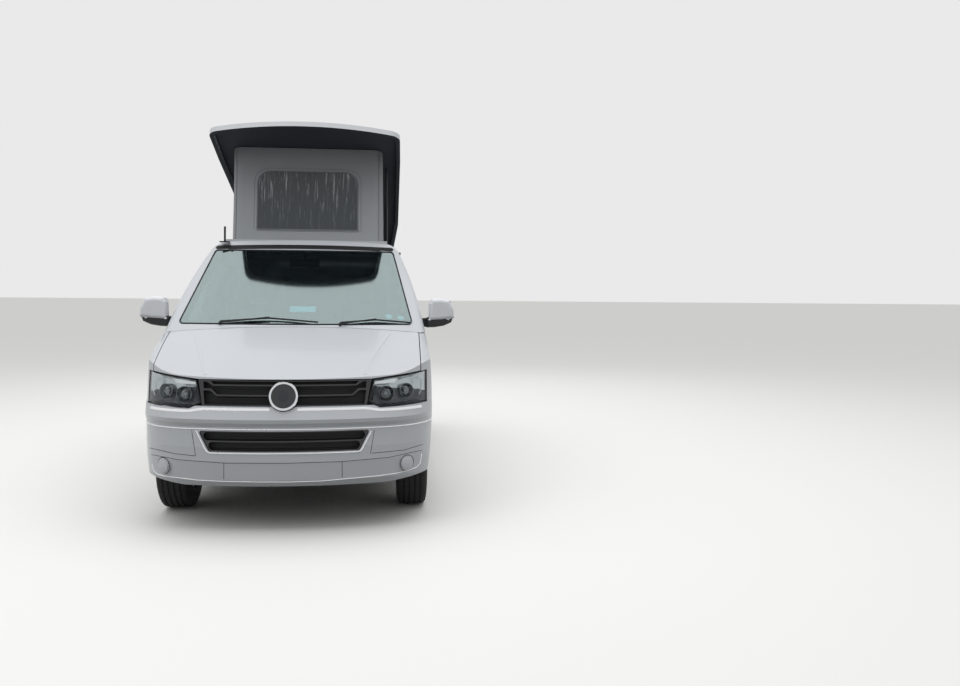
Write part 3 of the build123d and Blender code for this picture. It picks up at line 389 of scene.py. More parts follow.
# the height under the lamps and under the grille, and the X where it steps between them
ROLL_Z = (0.788, 0.803)
ROLL_STEP = (0.49, 0.62)
ROLL_RADIUS = 0.011
ROLL_SUNK = 0.55 * ROLL_RADIUS
ROLL_STEPS = 40
roll = []
for step in range(ROLL_STEPS + 1):
    x = mix(*ROLL_X, step / ROLL_STEPS)
    share = min(1.0, max(0.0, (ROLL_STEP[1] - x) / (ROLL_STEP[1] - ROLL_STEP[0])))
    roll.append(from_front(bumper_front, x, mix(*ROLL_Z, share * share * (3 - 2 * share)), -ROLL_SUNK))
bead("bumper_top_roll_left", roll, ROLL_RADIUS, edge_highlight, "van_body", "body_paint", resolution=5, twinned=True)

# Each round blank in the bumper is a moulded cover, slightly domed, that is clipped into its hole.
# A thin groove runs round it.
BLANK_PLACE = (0.776, 0.424)
# half width and half height of the groove
BLANK_GROOVE = (0.0425, 0.053)
BLANK_GROOVE_RADIUS = 0.0024
BLANK_LIFT = 0.0003
BLANK_STEPS = 48
bumper_all = surface("front_bumper", "bumper_blanks")
for side, sign in (("left", 1), ("right", -1)):
    ring = []
    for step in range(BLANK_STEPS):
        angle = step * math.tau / BLANK_STEPS
        x = sign * (BLANK_PLACE[0] + BLANK_GROOVE[0] * math.cos(angle))
        z = BLANK_PLACE[1] + BLANK_GROOVE[1] * math.sin(angle)
        ring.append(from_front(bumper_all, x, z, BLANK_LIFT))
    bead(f"blank_groove_{side}", ring, BLANK_GROOVE_RADIUS, joint_dark, "van_body", closed=True)

# The grilles are moulded in black ABS, polished on their ribs and dark in their slots.
# Behind each stands a ribbed black panel, so that the engine bay doesn't show.
gloss_black = grained(finish_of("polished_black_abs", "#15161c", 0.22, Coat_Weight=0.5), 0.004, 0.00003)
dress(gloss_black, "upper_grille", "lower_grille")
slot_black = grained(finish_of("black_slot_backing", "#0b0c0e", 0.7), 0.006, 0.0006)
NOSE_RADIUS = 2.1
# depth of a backing's ribs and how closely they follow each other, then its thickness and grid
RIB_DEPTH = 0.0015
RIB_TURNS = 40
BACKING_THICKNESS = 0.003
BACKING_GRID = (60, 40)
# name, half width at the foot and top, foot and top height, distance behind the nose at the foot and top
BACKINGS = (("lower_grille_backing", 0.475, 0.535, 0.541, 0.658, 0.074, 0.074),
            ("upper_grille_backing", 0.500, 0.525, 0.824, 0.974, 0.094, 0.127))


def shaped_grid(columns, rows, place, thickness=0.0):
    """A grid whose points are moved to places worked out from their two shares, with a thickness behind it."""
    bpy.ops.mesh.primitive_grid_add(x_subdivisions=columns, y_subdivisions=rows, size=2)
    piece = bpy.context.object
    for point in piece.data.vertices:
        point.co = place((point.co.x + 1) / 2, (point.co.y + 1) / 2)
    if thickness:
        solid = piece.modifiers.new("thickness", "SOLIDIFY")
        solid.thickness = thickness
        bpy.ops.object.modifier_apply(modifier=solid.name)
    bpy.ops.object.select_all(action="DESELECT")
    return piece


def nose_arc(x):
    """How far the nose lies back at an X, by its round plan."""
    return NOSE_RADIUS - math.sqrt(NOSE_RADIUS ** 2 - x ** 2)


for name, half_low, half_high, low, high, near, far in BACKINGS:
    def place(u, v):
        x = (2 * u - 1) * mix(half_low, half_high, v)
        rib = RIB_DEPTH * math.sin(v * RIB_TURNS)
        return Vector((x, NOSE_Y + mix(near, far, v) + nose_arc(x) + rib, mix(low, high, v)))

    backing = shaped_grid(*BACKING_GRID, place, BACKING_THICKNESS)
    finished(backing, name, slot_black, "van_body", "grille_black", 60)

# The disc in the grille is a moulding, chromed on its plain ring and satin dark in its dish.
# It carries no mark.
DISC_PLACE = Vector((0, 0.036 + NOSE_Y, 0.885))
DISC_TILT = math.radians(12)
DISC_RADIUS = 0.092
DISC_THICKNESS = 0.006
# how far in each step goes and how far it rises: the ring's edge, its face and inner wall, then the dish
DISC_STEPS = ((0.003, 0.005), (0.012, 0.001), (0.003, -0.007), (0.020, -0.001), (0.028, 0.003))
DISC_RING = 0.0175
chrome = grained(finish_of("chrome_plate", "#dfe1e4", 0.06, 1.0), 0.004, 0.000005, roughness=(0.03, 0.10))
dish_dark = grained(finish_of("satin_dark_dish", "#3a3c42", 0.3, 0.6), 0.0012, 0.00002, ("#36383e", "#404248"),
                    0.04, (0.26, 0.36))


def stepped(radius, depth, steps, vertices=48):
    """A round piece that faces up: a short cylinder whose top is inset and moved by each step."""
    bpy.ops.mesh.primitive_cylinder_add(vertices=vertices, radius=radius, depth=depth)
    piece = bpy.context.object
    bpy.ops.object.mode_set(mode="EDIT")
    bpy.ops.transform.translate(value=(0, 0, -depth / 2))
    bpy.ops.mesh.select_all(action="DESELECT")
    shape = bmesh.from_edit_mesh(piece.data)
    for face in shape.faces:
        face.select_set(face.normal.z > 0.9)
    bmesh.update_edit_mesh(piece.data)
    for inset, rise in steps:
        bpy.ops.mesh.inset(thickness=inset)
        bpy.ops.transform.translate(value=(0, 0, rise))
    bpy.ops.object.mode_set(mode="OBJECT")
    bpy.ops.object.select_all(action="DESELECT")
    return piece


def facing(piece, place, way):
    """Moves a shape that was made at the origin facing up to a place where it faces another way."""
    turned = Vector(way).to_track_quat("Z", "Y").to_matrix().to_4x4()
    piece.data.transform(Matrix.Translation(place) @ turned)
    return piece


disc_way = Vector((0, -math.cos(DISC_TILT), math.sin(DISC_TILT)))
disc = stepped(DISC_RADIUS, DISC_THICKNESS, DISC_STEPS, 96)
inner = [face.index for face in disc.data.polygons
         if face.normal.z > 0.5 and Vector(face.center[:2]).length < DISC_RADIUS - DISC_RING]
finished(facing(disc, DISC_PLACE + disc_way * DISC_THICKNESS, disc_way), "grille_disc", chrome, "van_body",
         "grille_black", 25)
disc.data.materials.append(dish_dark)
for index in inner:
    disc.data.polygons[index].material_index = 1

# The headlamps are hollow moulded housings, dark below and plated above, with vacuum-plated bowls and trims.
# A clear polycarbonate lens covers them.
housing_dark = grained(finish_of("dark_lamp_housing", "#4a4d52", 0.3, 0.5), 0.003, 0.00005)
plated = grained(finish_of("vacuum_plated_bowl", "#7f8387", 0.12, 1.0), 0.004, 0.000005, roughness=(0.08, 0.17))
trim_silver = grained(finish_of("satin_plated_trim", "#e6e8ea", 0.2, 0.7), 0.002, 0.00001, roughness=(0.16, 0.26))
clear = grained(finish_of("clear_polycarbonate", "#f6f9f9", 0.02, Transmission_Weight=1.0, IOR=1.2), 0.02, 0.00001,
                roughness=(0.0, 0.04))
dress(clear, "headlight_lenses")
lens_front = surface("headlight_lenses")
# X and height of the lamp's top and foot, and the share of its width where the foot bends
LAMP_TOP = ((0.565, 0.973), (0.904, 1.012))
LAMP_FOOT = ((0.532, 0.839), (0.603, 0.808), (0.904, 0.817))
LAMP_KNEE = 0.2
# depth of the housing's rim behind the lens, its further depth inside, and the share that its wall takes
LAMP_RIM = 0.011
LAMP_DEEP = 0.055
LAMP_WALL = 0.10
LAMP_LINE_STEPS = 6
TRAY_GRID = (56, 28)
TRAY_THICKNESS = 0.002


def lamp_spot(u, v):
    """X and height of a place in the left lamp, from its shares across and up."""
    if u < LAMP_KNEE:
        share, (x0, z0), (x1, z1) = u / LAMP_KNEE, LAMP_FOOT[0], LAMP_FOOT[1]
    else:
        share, (x0, z0), (x1, z1) = (u - LAMP_KNEE) / (1 - LAMP_KNEE), LAMP_FOOT[1], LAMP_FOOT[2]
    foot = Vector((mix(x0, x1, share), mix(z0, z1, share)))
    top = Vector(LAMP_TOP[0]).lerp(Vector(LAMP_TOP[1]), u)
    return foot.lerp(top, v)


def lamp_tray(u, v):
    """A place on the housing, which falls away from its rim behind the lens."""
    x, z = lamp_spot(u, v)
    inward = min(1.0, min(u, 1 - u, v, 1 - v) / LAMP_WALL)
    return from_front(lens_front, x, z, -LAMP_RIM - LAMP_DEEP * math.sin(inward * math.pi / 2))


def lamp_line(spots, lift):
    """Points behind the lens along a line of X and height."""
    return [from_front(lens_front, x, z, lift) for x, z in along(spots, LAMP_LINE_STEPS)]


tray = shaped_grid(*TRAY_GRID, lamp_tray, TRAY_THICKNESS)
housing_pale = grained(finish_of("pale_plated_housing", "#c4c8cc", 0.22, 0.8), 0.003, 0.00005)
# the height above which the housing is plated, at the lamp's inner and outer end
PLATED_ABOVE = (0.930, 0.885)
plated_faces = []
for face in tray.data.polygons:
    share = (face.center.x - LAMP_TOP[0][0]) / (LAMP_TOP[1][0] - LAMP_TOP[0][0])
    if face.center.z > mix(*PLATED_ABOVE, share):
        plated_faces.append(face.index)
tray_twin = both_sides(tray, "headlamp_housing_left", housing_dark, "van_body", "lamp_dark", 60)
for half in (tray, tray_twin):
    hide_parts("headlights")
    half.data.materials.append(housing_pale)
    for index in plated_faces:
        half.data.polygons[index].material_index = 1
# X, height, radius and depth behind the lens
LAMP_BOWLS = ((0.650, 0.890, 0.050, 0.026), (0.792, 0.902, 0.047, 0.030))
BOWL_DEPTH = 0.034
FORWARD = Vector((0, -1, 0))
BOWL_STEPS = ((0.003, 0.002), (0.002, -0.006), (0.006, -0.013), (0.010, -0.012), (0.012, -0.005), (0.002, 0.012),
              (0.004, 0.002))
for index, (x, z, radius, deep) in enumerate(LAMP_BOWLS):
    place = from_front(lens_front, x, z, -deep)
    outward = (from_front(lens_front, x, z) - place).normalized()
    bowl = facing(stepped(radius, BOWL_DEPTH, BOWL_STEPS, 64), place, (outward + FORWARD).normalized())
    both_sides(bowl, f"headlamp_bowl_{index}_left", plated, "van_body", "lens", 25)
# X and height of the brow's foot, how far its outer end slants, its top's height and rise, and its depth
BROW_X = (0.568, 0.703)
BROW_Z = (0.952, 0.956)
BROW_SLANT = 0.022
BROW_TOP = 0.966
BROW_RISE = 0.115
BROW_BEHIND = 0.016
BROW_THICKNESS = 0.004


def brow(u, v):
    """The pale strip under the lamp's inner top edge."""
    x = mix(*BROW_X, u) + BROW_SLANT * u * v
    top = BROW_TOP + BROW_RISE * (x - LAMP_TOP[0][0])
    return from_front(lens_front, x, mix(mix(*BROW_Z, u), top, v), -BROW_BEHIND)


both_sides(shaped_grid(24, 6, brow, BROW_THICKNESS), "headlamp_brow_left", trim_silver, "van_body", "lens")
LAMP_TRIMS = {"headlamp_brow_edge_left": ((0.567, 0.951), (0.700, 0.955), (0.726, 0.984)),
              "headlamp_fin_left": ((0.862, 1.000), (0.890, 0.955), (0.888, 0.900), (0.862, 0.856))}
TRIM_BEHIND = 0.014
TRIM_RADIUS = 0.0022
for name, spots in LAMP_TRIMS.items():
    bead(name, lamp_line(spots, -TRIM_BEHIND), TRIM_RADIUS, trim_silver, "van_body", "lens", twinned=True)

# A black rubber seal runs round each lamp, just behind its lens. The same extruded seal goes round the panes
# of the sides and the tail.
SEAL_RADIUS = 0.0045
LAMP_SEAL_BEHIND = 0.006
LAMP_OUTLINE = ((0.561, 0.977), (0.907, 1.016), (0.907, 0.815), (0.602, 0.806), (0.529, 0.838))
rubber = grained(finish_of("black_rubber_seal", "#17181a", 0.6), 0.002, 0.00005)
lamp_seal = lamp_line([*LAMP_OUTLINE, LAMP_OUTLINE[0]], -LAMP_SEAL_BEHIND)
bead("headlamp_seal_left", lamp_seal, SEAL_RADIUS, rubber, "van_body", closed=True, twinned=True)

# The windscreen is laminated glass in a black rubber seal, wet from rain. Inside its edge runs a band of
# ceramic print, and above it a black strip closes the gap to the roof.
# the glass is partly metallic with a pale tint, so it mirrors the white surrounding far more than glass does: a
# painted reflection on top of the glass's own, which makes the whole pane pale
reflecting_screen_glass = grained(finish_of("wet_laminated_glass", "#d0e0e1", 0.06, 0.55, Transmission_Weight=1.0, IOR=1.45),
                       0.006, 0.00004)
side_glass = grained(finish_of("green_tempered_glass", "#d3e0da", 0.02, 0.12, Transmission_Weight=1.0, IOR=1.3),
                     0.05, 0.00001, roughness=(0.0, 0.04))
dark_glass = grained(finish_of("privacy_glass", "#1d2224", 0.03, 0.1, Transmission_Weight=0.6, IOR=1.45),
                     0.05, 0.00001, roughness=(0.02, 0.06))
dress(reflecting_screen_glass, "windscreen")
dress(side_glass, "front_door_glass_left", "front_door_glass_right")
dress(dark_glass, "side_windows", "tailgate_glass")
frit = grained(finish_of("ceramic_edge_print", "#54575c", 0.5), 0.002, 0.00003, ("#505358", "#585b60"), 0.05)
pane = surface("windscreen")
# half width and height of the pane's corners
PANE = ((0.829, 1.310), (0.688, 1.863))
SCREEN_SEAL_RADIUS = 0.0042
SCREEN_SEAL_LIFT = 0.0005
# depth behind the pane's outer face of what lies against its inner face
PANE_BEHIND = 0.0095
PRINT_THICKNESS = 0.0006


def rounded(corners, radius, steps=6, between=24):
    """A closed outline with rounded corners: pairs going round, with points on the straight runs too."""
    arcs = []
    for index, corner in enumerate(corners):
        corner = Vector(corner)
        before = (Vector(corners[index - 1]) - corner).normalized()
        after = (Vector(corners[(index + 1) % len(corners)]) - corner).normalized()
        half = before.angle(after) / 2
        middle = corner + (before + after).normalized() * radius / math.sin(half)
        start = corner + before * radius / math.tan(half) - middle
        end = corner + after * radius / math.tan(half) - middle
        arcs.append([middle + start.slerp(end, step / steps).normalized() * radius for step in range(steps + 1)])
    spots = []
    for index, arc in enumerate(arcs):
        following = arcs[(index + 1) % len(arcs)][0]
        spots += arc[:-1] + [arc[-1].lerp(following, i / between) for i in range(between)]
    return spots


def pane_outline(inset, foot, radius):
    """The pane's outline, drawn in by one amount at its sides and top and by another at its foot."""
    (low_x, low_z), (high_x, high_z) = PANE
    low_x -= inset + foot * (low_x - high_x) / (high_z - low_z)
    return rounded([(low_x, low_z + foot), (high_x - inset, high_z - inset), (inset - high_x, high_z - inset),
                    (-low_x, low_z + foot)], radius)


seal = [from_front(pane, x, z, SCREEN_SEAL_LIFT) for x, z in pane_outline(0.003, 0.003, 0.026)]
bead("windscreen_seal", seal, SCREEN_SEAL_RADIUS, rubber, "van_body", closed=True)
# the print's outer and inner edge
outside, inside = pane_outline(0.006, 0.006, 0.024), pane_outline(0.021, 0.031, 0.016)
ring_count = len(outside)


def print_band(u, v):
    """A place in the printed band, going round the pane and in from its outer edge."""
    spot = round(u * ring_count) % ring_count
    x, z = outside[spot].lerp(inside[spot], v)
    return from_front(pane, x, z, -PANE_BEHIND)


finished(shaped_grid(ring_count, 2, print_band, PRINT_THICKNESS), "windscreen_print", frit, "van_body",
         "black_plastic")

screen_all = surface("windscreen", "body_shell", "roof_frame", "roof_shell")
# half length and how far its ends are rounded, height of its foot and top, and how far its ends droop
STRIP_HALF = 0.690
STRIP_END = 0.012
STRIP_Z = (1.8735, 1.9055)
STRIP_DROOP = 0.010
# how far its edges and its middle stand off
STRIP_LIFT = 0.003
STRIP_CROWN = 0.004
STRIP_THICKNESS = 0.005


def top_strip(u, v):
    """A place on the black strip over the windscreen."""
    x = (2 * u - 1) * (STRIP_HALF - STRIP_END * abs(2 * v - 1))
    z = mix(*STRIP_Z, v) - STRIP_DROOP * (x / STRIP_HALF) ** 2
    return from_front(screen_all, x, z, STRIP_LIFT + STRIP_CROWN * math.sin(v * math.pi))


finished(shaped_grid(60, 8, top_strip, STRIP_THICKNESS), "screen_top_strip", rubber, "van_body", "black_plastic")

# Against the inside of the glass are a bare card and two plain discs of pale printed film. The mirror hangs
# there too, in a moulded case on a short stem.
# the film is made to glow a little in its own colour: painted light that keeps it bright behind the glass
glowing_film = grained(finish_of("pale_blue_film", "#8ff4ff", 0.5, Emission_Color=linear("#8ff4ff"),
                              Emission_Strength=0.6), 0.003, 0.00003, roughness=(0.4, 0.6))
# X and height of the card's edges and of the discs' middles
CARD_X = (-0.053, 0.133)
CARD_Z = (1.403, 1.443)
CARD_THICKNESS = 0.0008
DISCS = ((0.656, 1.374), (0.742, 1.365))
FILM_DISC_RADIUS = 0.024
FILM_DISC_THICKNESS = 0.0006


def card_place(u, v):
    return from_front(pane, mix(*CARD_X, u), mix(*CARD_Z, v), -PANE_BEHIND)


finished(shaped_grid(12, 4, card_place, CARD_THICKNESS), "bare_card", glowing_film, "van_body", "board")
for index, (x, z) in enumerate(DISCS):
    place = from_front(pane, x, z, -PANE_BEHIND)
    outward = from_front(pane, x, z) - place
    spot = facing(stepped(FILM_DISC_RADIUS, FILM_DISC_THICKNESS, ((0.002, 0.0002),)), place, outward)
    finished(spot, f"bare_disc_{index}", glowing_film, "van_body", "board")


def rounded_block(low, high, edge, segments=3):
    """A block between two corners with rounded edges."""
    bpy.ops.mesh.primitive_cube_add(size=1)
    piece = bpy.context.object
    low, high = Vector(low), Vector(high)
    for point in piece.data.vertices:
        point.co = Vector([mix(a, b, c + 0.5) for a, b, c in zip(low, high, point.co)])
    bpy.ops.object.mode_set(mode="EDIT")
    bpy.ops.mesh.bevel(offset=edge, segments=segments, affect="EDGES")
    bpy.ops.object.mode_set(mode="OBJECT")
    bpy.ops.object.select_all(action="DESELECT")
    return piece


grained_black = grained(finish_of("grained_polypropylene", "#1b1c1f", 0.55), 0.0015, 0.0001)
CAB_MIRROR = ((-0.115, -0.965, 1.735), (0.115, -0.940, 1.800))
CAB_MIRROR_EDGE = 0.011
CAB_STEM = ((0, -0.948, 1.79), (0, -0.955, 1.82), (0, -1.000, 1.848))
CAB_STEM_RADIUS = 0.007
finished(rounded_block(*CAB_MIRROR, CAB_MIRROR_EDGE), "cab_mirror", grained_black, "van_body", "black_plastic")
bead("cab_mirror_stem", CAB_STEM, CAB_STEM_RADIUS, grained_black, "van_body")

# The wipers, the radiator's frame, the tank and the seats' bases are grained black mouldings too, of the same
# polypropylene. They are the CAD's own pieces in this material.
dress(grained_black, "wipers", "radiator", "fuel_tank", "seat_bases")

# The mirrors are moulded cases, painted, on a black foot at the door's corner. The glass faces back, in a thin
# dark frame. The lines are where the paint ends on the case.
MIRROR_CASE_FOOT = ((0.954, 1.331), (1.060, 1.338), (1.148, 1.352))
CASE_MARGIN = 0.0005
mirror_glass = grained(finish_of("silvered_mirror_glass", "#dfe3e4", 0.02, 1.0), 0.05, 0.000005,
                       roughness=(0.01, 0.04))
# the case's paint is lighter than the body's silver: a painted reflection of bright sky on its rounded case
lightened_case_paint = grained(finish_of("painted_mirror_case", "#dadde2", 0.3, Coat_Weight=0.6, Coat_Roughness=0.08),
                     0.002, 0.00002)
dress(lightened_case_paint, "mirror_left", "mirror_right")


def on_foot(centre, normal):
    """Whether a face of a mirror lies below the painted case."""
    x = abs(centre.x)
    (x0, z0), (x1, z1) = MIRROR_CASE_FOOT[:2] if x < MIRROR_CASE_FOOT[1][0] else MIRROR_CASE_FOOT[1:]
    return centre.z < mix(z0, z1, (x - x0) / (x1 - x0)) - CASE_MARGIN or x < MIRROR_CASE_FOOT[0][0]


for side in ("left", "right"):
    dress_faces(f"mirror_{side}", grained_black, on_foot)
MIRROR_BACK = 1.136 + NOSE_Y
MIRROR_FRAME = ((0.972, MIRROR_BACK - 0.004, 1.350), (1.122, MIRROR_BACK + 0.004, 1.482))
MIRROR_PANE = ((0.979, MIRROR_BACK, 1.357), (1.115, MIRROR_BACK + 0.0052, 1.475))
both_sides(rounded_block(*MIRROR_FRAME, 0.012), "mirror_frame_left", grained_black, "front_door_left",
           "black_plastic")
both_sides(rounded_block(*MIRROR_PANE, 0.010, 2), "mirror_pane_left", mirror_glass, "front_door_left",
           "mirror_case")

# The bonnet is pressed steel with a low ridge down each side, from the windscreen to the inner end of the lamp.
# Each is a thick round bead, sunk in the panel so far that only its low crown shows.
RIDGE = ((195.0, 334), (205.4, 374.5))
RIDGE_RADIUS = 0.045
RIDGE_SUNK = 0.0425
ridge = [Vector((-point.x, point.y, point.z)) for point in sighted(surface("bonnet"), RIDGE, -RIDGE_SUNK, 24)]
bead("bonnet_ridge_left", ridge, RIDGE_RADIUS, silver, "bonnet", "body_paint", resolution=10, twinned=True)

# The side windows are panes of tempered glass, bonded in with a moulded rubber edge. Each edge rides with the
# door or the body that its pane is in.
left_side = surface("body_shell", "front_door_left", "front_door_glass_left", "sliding_door", "side_windows")
LEFT_OF_IT = 1.5
WINDOW_CORNER = 0.055
SEAL_OUT = 0.004
SEAL_LIFT = 0.001
# distance behind the nose and height of each window's corners
SIDE_WINDOWS = {
    "front_door_window_seal_left": ("front_door_left", ((1.180, 1.130), (1.950, 1.130), (1.950, 1.755),
                                                        (1.710, 1.755), (1.180, 1.325))),
    "middle_window_seal_left": ("van_body", ((2.140, 1.130), (3.020, 1.130), (3.020, 1.755), (2.140, 1.755))),
    "rear_window_seal_left": ("van_body", ((3.240, 1.130), (4.480, 1.130), (4.420, 1.755), (3.240, 1.755))),
}


def on_side(distance, z, lift=0.0):
    """A place on the van's left side, at a distance behind the nose and a height."""
    return meet(left_side, (LEFT_OF_IT, NOSE_Y + distance, z), (-1, 0, 0), lift)


def let_out(ring, amount):
    """An outline with each point moved away from its middle."""
    middle = sum(ring, Vector((0, 0))) / len(ring)
    return [spot + (spot - middle).normalized() * amount for spot in ring]


for name, (body, corners) in SIDE_WINDOWS.items():
    line = [on_side(*spot, SEAL_LIFT) for spot in let_out(rounded(corners, WINDOW_CORNER), SEAL_OUT)]
    bead(name, line, SEAL_RADIUS, rubber, body, closed=True, twinned=True)

# Each door is opened by a painted grip over a hand cup, coloured dark as painted shade in its recess. The sliding
# door runs in a channel below the rear window, and the filler flap is a square panel on the right, behind the
# front door.
GRIP_RADIUS = 0.0105
# distance from the grip's middle, and how far it stands off the skin
GRIP = ((-0.088, 0.0), (-0.082, 0.018), (-0.066, 0.032), (0.066, 0.032), (0.082, 0.018), (0.088, 0.0))
# half length and half height of the cup, and how far its face stands off the skin
CUP = (0.060, 0.023)
CUP_LIFT = 0.0006
# body, distance behind the nose, height, and whether the right side has one too
HANDLES = {"front_door": ("front_door_left", 1.880, 1.015, True),
           "sliding_door": ("van_body", 2.180, 1.015, False)}
for name, (body, distance, z, twinned) in HANDLES.items():
    def cup_place(u, v):
        across, up = 2 * u - 1, 2 * v - 1
        return on_side(distance + CUP[0] * across * math.sqrt(1 - up * up / 2),
                       z + CUP[1] * up * math.sqrt(1 - across * across / 2), CUP_LIFT)

    line = [on_side(distance + away, z, off) for away, off in GRIP]
    grip = bead(f"{name}_grip_left", line, GRIP_RADIUS, silver, body, "body_paint", resolution=4)
    cup = shaped_grid(20, 12, cup_place)
    make = both_sides if twinned else finished
    make(grip, grip.name, silver, body, "body_paint", BEAD_ANGLE)
    make(cup, f"{name}_cup_left", joint_dark, body, "black_plastic", BEAD_ANGLE)
# distance behind the nose of the channel's ends, and its height
CHANNEL_ENDS = (3.135, 4.440)
CHANNEL_Z = 1.098
CHANNEL_STEPS = 60
CHANNEL_RADIUS = 0.0065
channel_line = [on_side(mix(*CHANNEL_ENDS, i / CHANNEL_STEPS), CHANNEL_Z) for i in range(CHANNEL_STEPS + 1)]
bead("sliding_door_channel", channel_line, CHANNEL_RADIUS, joint_dark, "van_body")
FLAP = ((2.150, 0.640), (2.335, 0.640), (2.335, 0.835), (2.150, 0.835))
FLAP_CORNER = 0.03
flap_line = [on_side(*spot) for spot in rounded(FLAP, FLAP_CORNER)]
bead("filler_flap_gap", [Vector((-point.x, point.y, point.z)) for point in flap_line], CUT_LINE, joint_dark,
     "van_body", closed=True)

# The tailgate has a bonded pane in a rubber edge, a painted grip strip over the bare number plate recess, a
# wiper on its waist and a strip of red lamp under its top edge.
tail = surface("tailgate", "tailgate_glass")
TAIL_PANE = ((-0.575, 1.170), (0.575, 1.170), (0.500, 1.750), (-0.500, 1.750))
PLATE_RECESS = ((-0.290, 0.790), (0.290, 0.790), (0.290, 0.925), (-0.290, 0.925))
BEHIND_Y = 3.2
TAIL_PANE_CORNER = 0.070
RECESS_CORNER = 0.020
RECESS_EDGE_RADIUS = 0.003


def on_tail(x, z, lift=0.0):
    """A place on the tailgate, at an X and a height."""
    return meet(tail, (x, BEHIND_Y, z), (0, -1, 0), lift)


line = [on_tail(*spot, SEAL_LIFT) for spot in let_out(rounded(TAIL_PANE, TAIL_PANE_CORNER), SEAL_OUT)]
bead("tailgate_pane_seal", line, SEAL_RADIUS, rubber, "tailgate", closed=True)
line = [on_tail(*spot) for spot in rounded(PLATE_RECESS, RECESS_CORNER)]
bead("plate_recess_edge", line, RECESS_EDGE_RADIUS, joint_dark, "tailgate", closed=True)
lamp_red = grained(finish_of("red_lamp_moulding", "#7d070b", 0.2, Specular_IOR_Level=0.25), 0.006, 0.0002)
# half length, foot and top height, crown, how square its ends are, rows, material and slot
TAIL_STRIPS = {"tailgate_grip_strip": (0.310, 0.940, 0.986, 0.020, 8, 10, silver, "body_paint"),
               "high_brake_lamp": (0.160, 1.784, 1.808, 0.006, 12, 8, lamp_red, "lamp_red")}
TAIL_STRIP_LIFT = 0.001
TAIL_STRIP_THICKNESS = 0.002
for name, (half, low, high, crown, square, rows, material, slot) in TAIL_STRIPS.items():
    def strip_place(u, v):
        across = 2 * u - 1
        lift = TAIL_STRIP_LIFT + crown * math.sin(math.pi * v) * (1 - across ** square)
        return on_tail(half * across, mix(low, high, v), lift)

    finished(shaped_grid(48, rows, strip_place, TAIL_STRIP_THICKNESS), name, material, "tailgate", slot, 50)
# X, height and how far it stands off the skin, at each bend, and its radius
TAIL_WIPER = {
    "tail_wiper_arm": (((0.0, 1.112, 0.014), (-0.030, 1.130, 0.022), (-0.260, 1.204, 0.022)), 0.0055),
    "tail_wiper_blade": (((-0.050, 1.196, 0.011), (-0.250, 1.206, 0.011), (-0.450, 1.212, 0.011)), 0.0060),
}
for name, (spots, radius) in TAIL_WIPER.items():
    bead(name, [on_tail(*spot) for spot in spots], radius, grained_black, "tailgate", resolution=4)
PIVOT_RADIUS = 0.019
PIVOT_DEPTH = 0.016
PIVOT_STEPS = ((0.003, 0.003), (0.006, 0.001))
pivot = facing(stepped(PIVOT_RADIUS, PIVOT_DEPTH, PIVOT_STEPS), on_tail(0.0, 1.112, 0.014), (0, 1, 0))
finished(pivot, "tail_wiper_pivot", grained_black, "tailgate", "black_plastic")

# A short rubber aerial on a flat foot stands at the right front corner of the roof. It is flexible.
AERIAL_X = -0.622
AERIAL_Y = 1.545 + NOSE_Y
AERIAL_RADIUS = 0.008
AERIAL_FOOT_Z = 1.925
# how far back it leans and its height, at each bend
AERIAL_BENDS = ((0.0, AERIAL_FOOT_Z), (0.004, 1.99), (0.010, 2.047))
AERIAL_BASE = ((AERIAL_X - 0.038, AERIAL_Y - 0.030, 1.9225), (AERIAL_X + 0.038, AERIAL_Y + 0.030, 1.9315))
AERIAL_BASE_EDGE = 0.004
aerial = bead("aerial_mast", [(AERIAL_X, AERIAL_Y + lean, z) for lean, z in AERIAL_BENDS], AERIAL_RADIUS, rubber,
              "van_body", resolution=4)
finished(rounded_block(*AERIAL_BASE, AERIAL_BASE_EDGE), "aerial_base", rubber, "van_body", "black_plastic")
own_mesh(aerial)

# The lifting roof is a glass-fibre moulding, painted to match above and dark blue-black on its downward faces.
# The frame that it closes on is a pale painted section.
# faces that point further down than this are coloured dark blue-black
DARK_BELOW = -0.3
roof_underside_dark = grained(finish_of("flocked_dark_lining", "#1b2028", 0.85), 0.002, 0.0002)
fibre_paint = grained(finish_of("sprayed_glass_fibre", "#cdd0d4", 0.34, Coat_Weight=0.4, Coat_Roughness=0.1),
                      0.004, 0.00004, ("#c9ccd0", "#d1d4d8"), 0.5)
dress(fibre_paint, "roof_shell")
dress_faces("roof_shell", roof_underside_dark, lambda centre, normal: normal.z < DARK_BELOW)
frame_paint = grained(finish_of("painted_roof_frame", "#b4b7bb", 0.45, 0.1), 0.003, 0.00005)
dress(frame_paint, "roof_frame")

# Underneath, the floor, rails and axles are steel under a dusty sprayed seal, and the engine, knuckles and
# exhaust are bare castings. The awning's rail on the left is drawn aluminium.
underseal = grained(finish_of("dusty_underseal", "#232323", 0.85), 0.008, 0.0006, ("#1c1c1c", "#34322f"), 0.2)
casting = grained(finish_of("bare_casting", "#55524e", 0.6, 0.8), 0.003, 0.0003)
aluminium = grained(finish_of("drawn_aluminium", "#b4b6b8", 0.35, 0.9), 0.002, 0.00003)
dress(underseal, "floor_pan", "chassis_rails", "front_suspension", "rear_axle")
dress(casting, "knuckle_left", "knuckle_right", "engine_block", "exhaust")
dress(aluminium, "awning_rail")

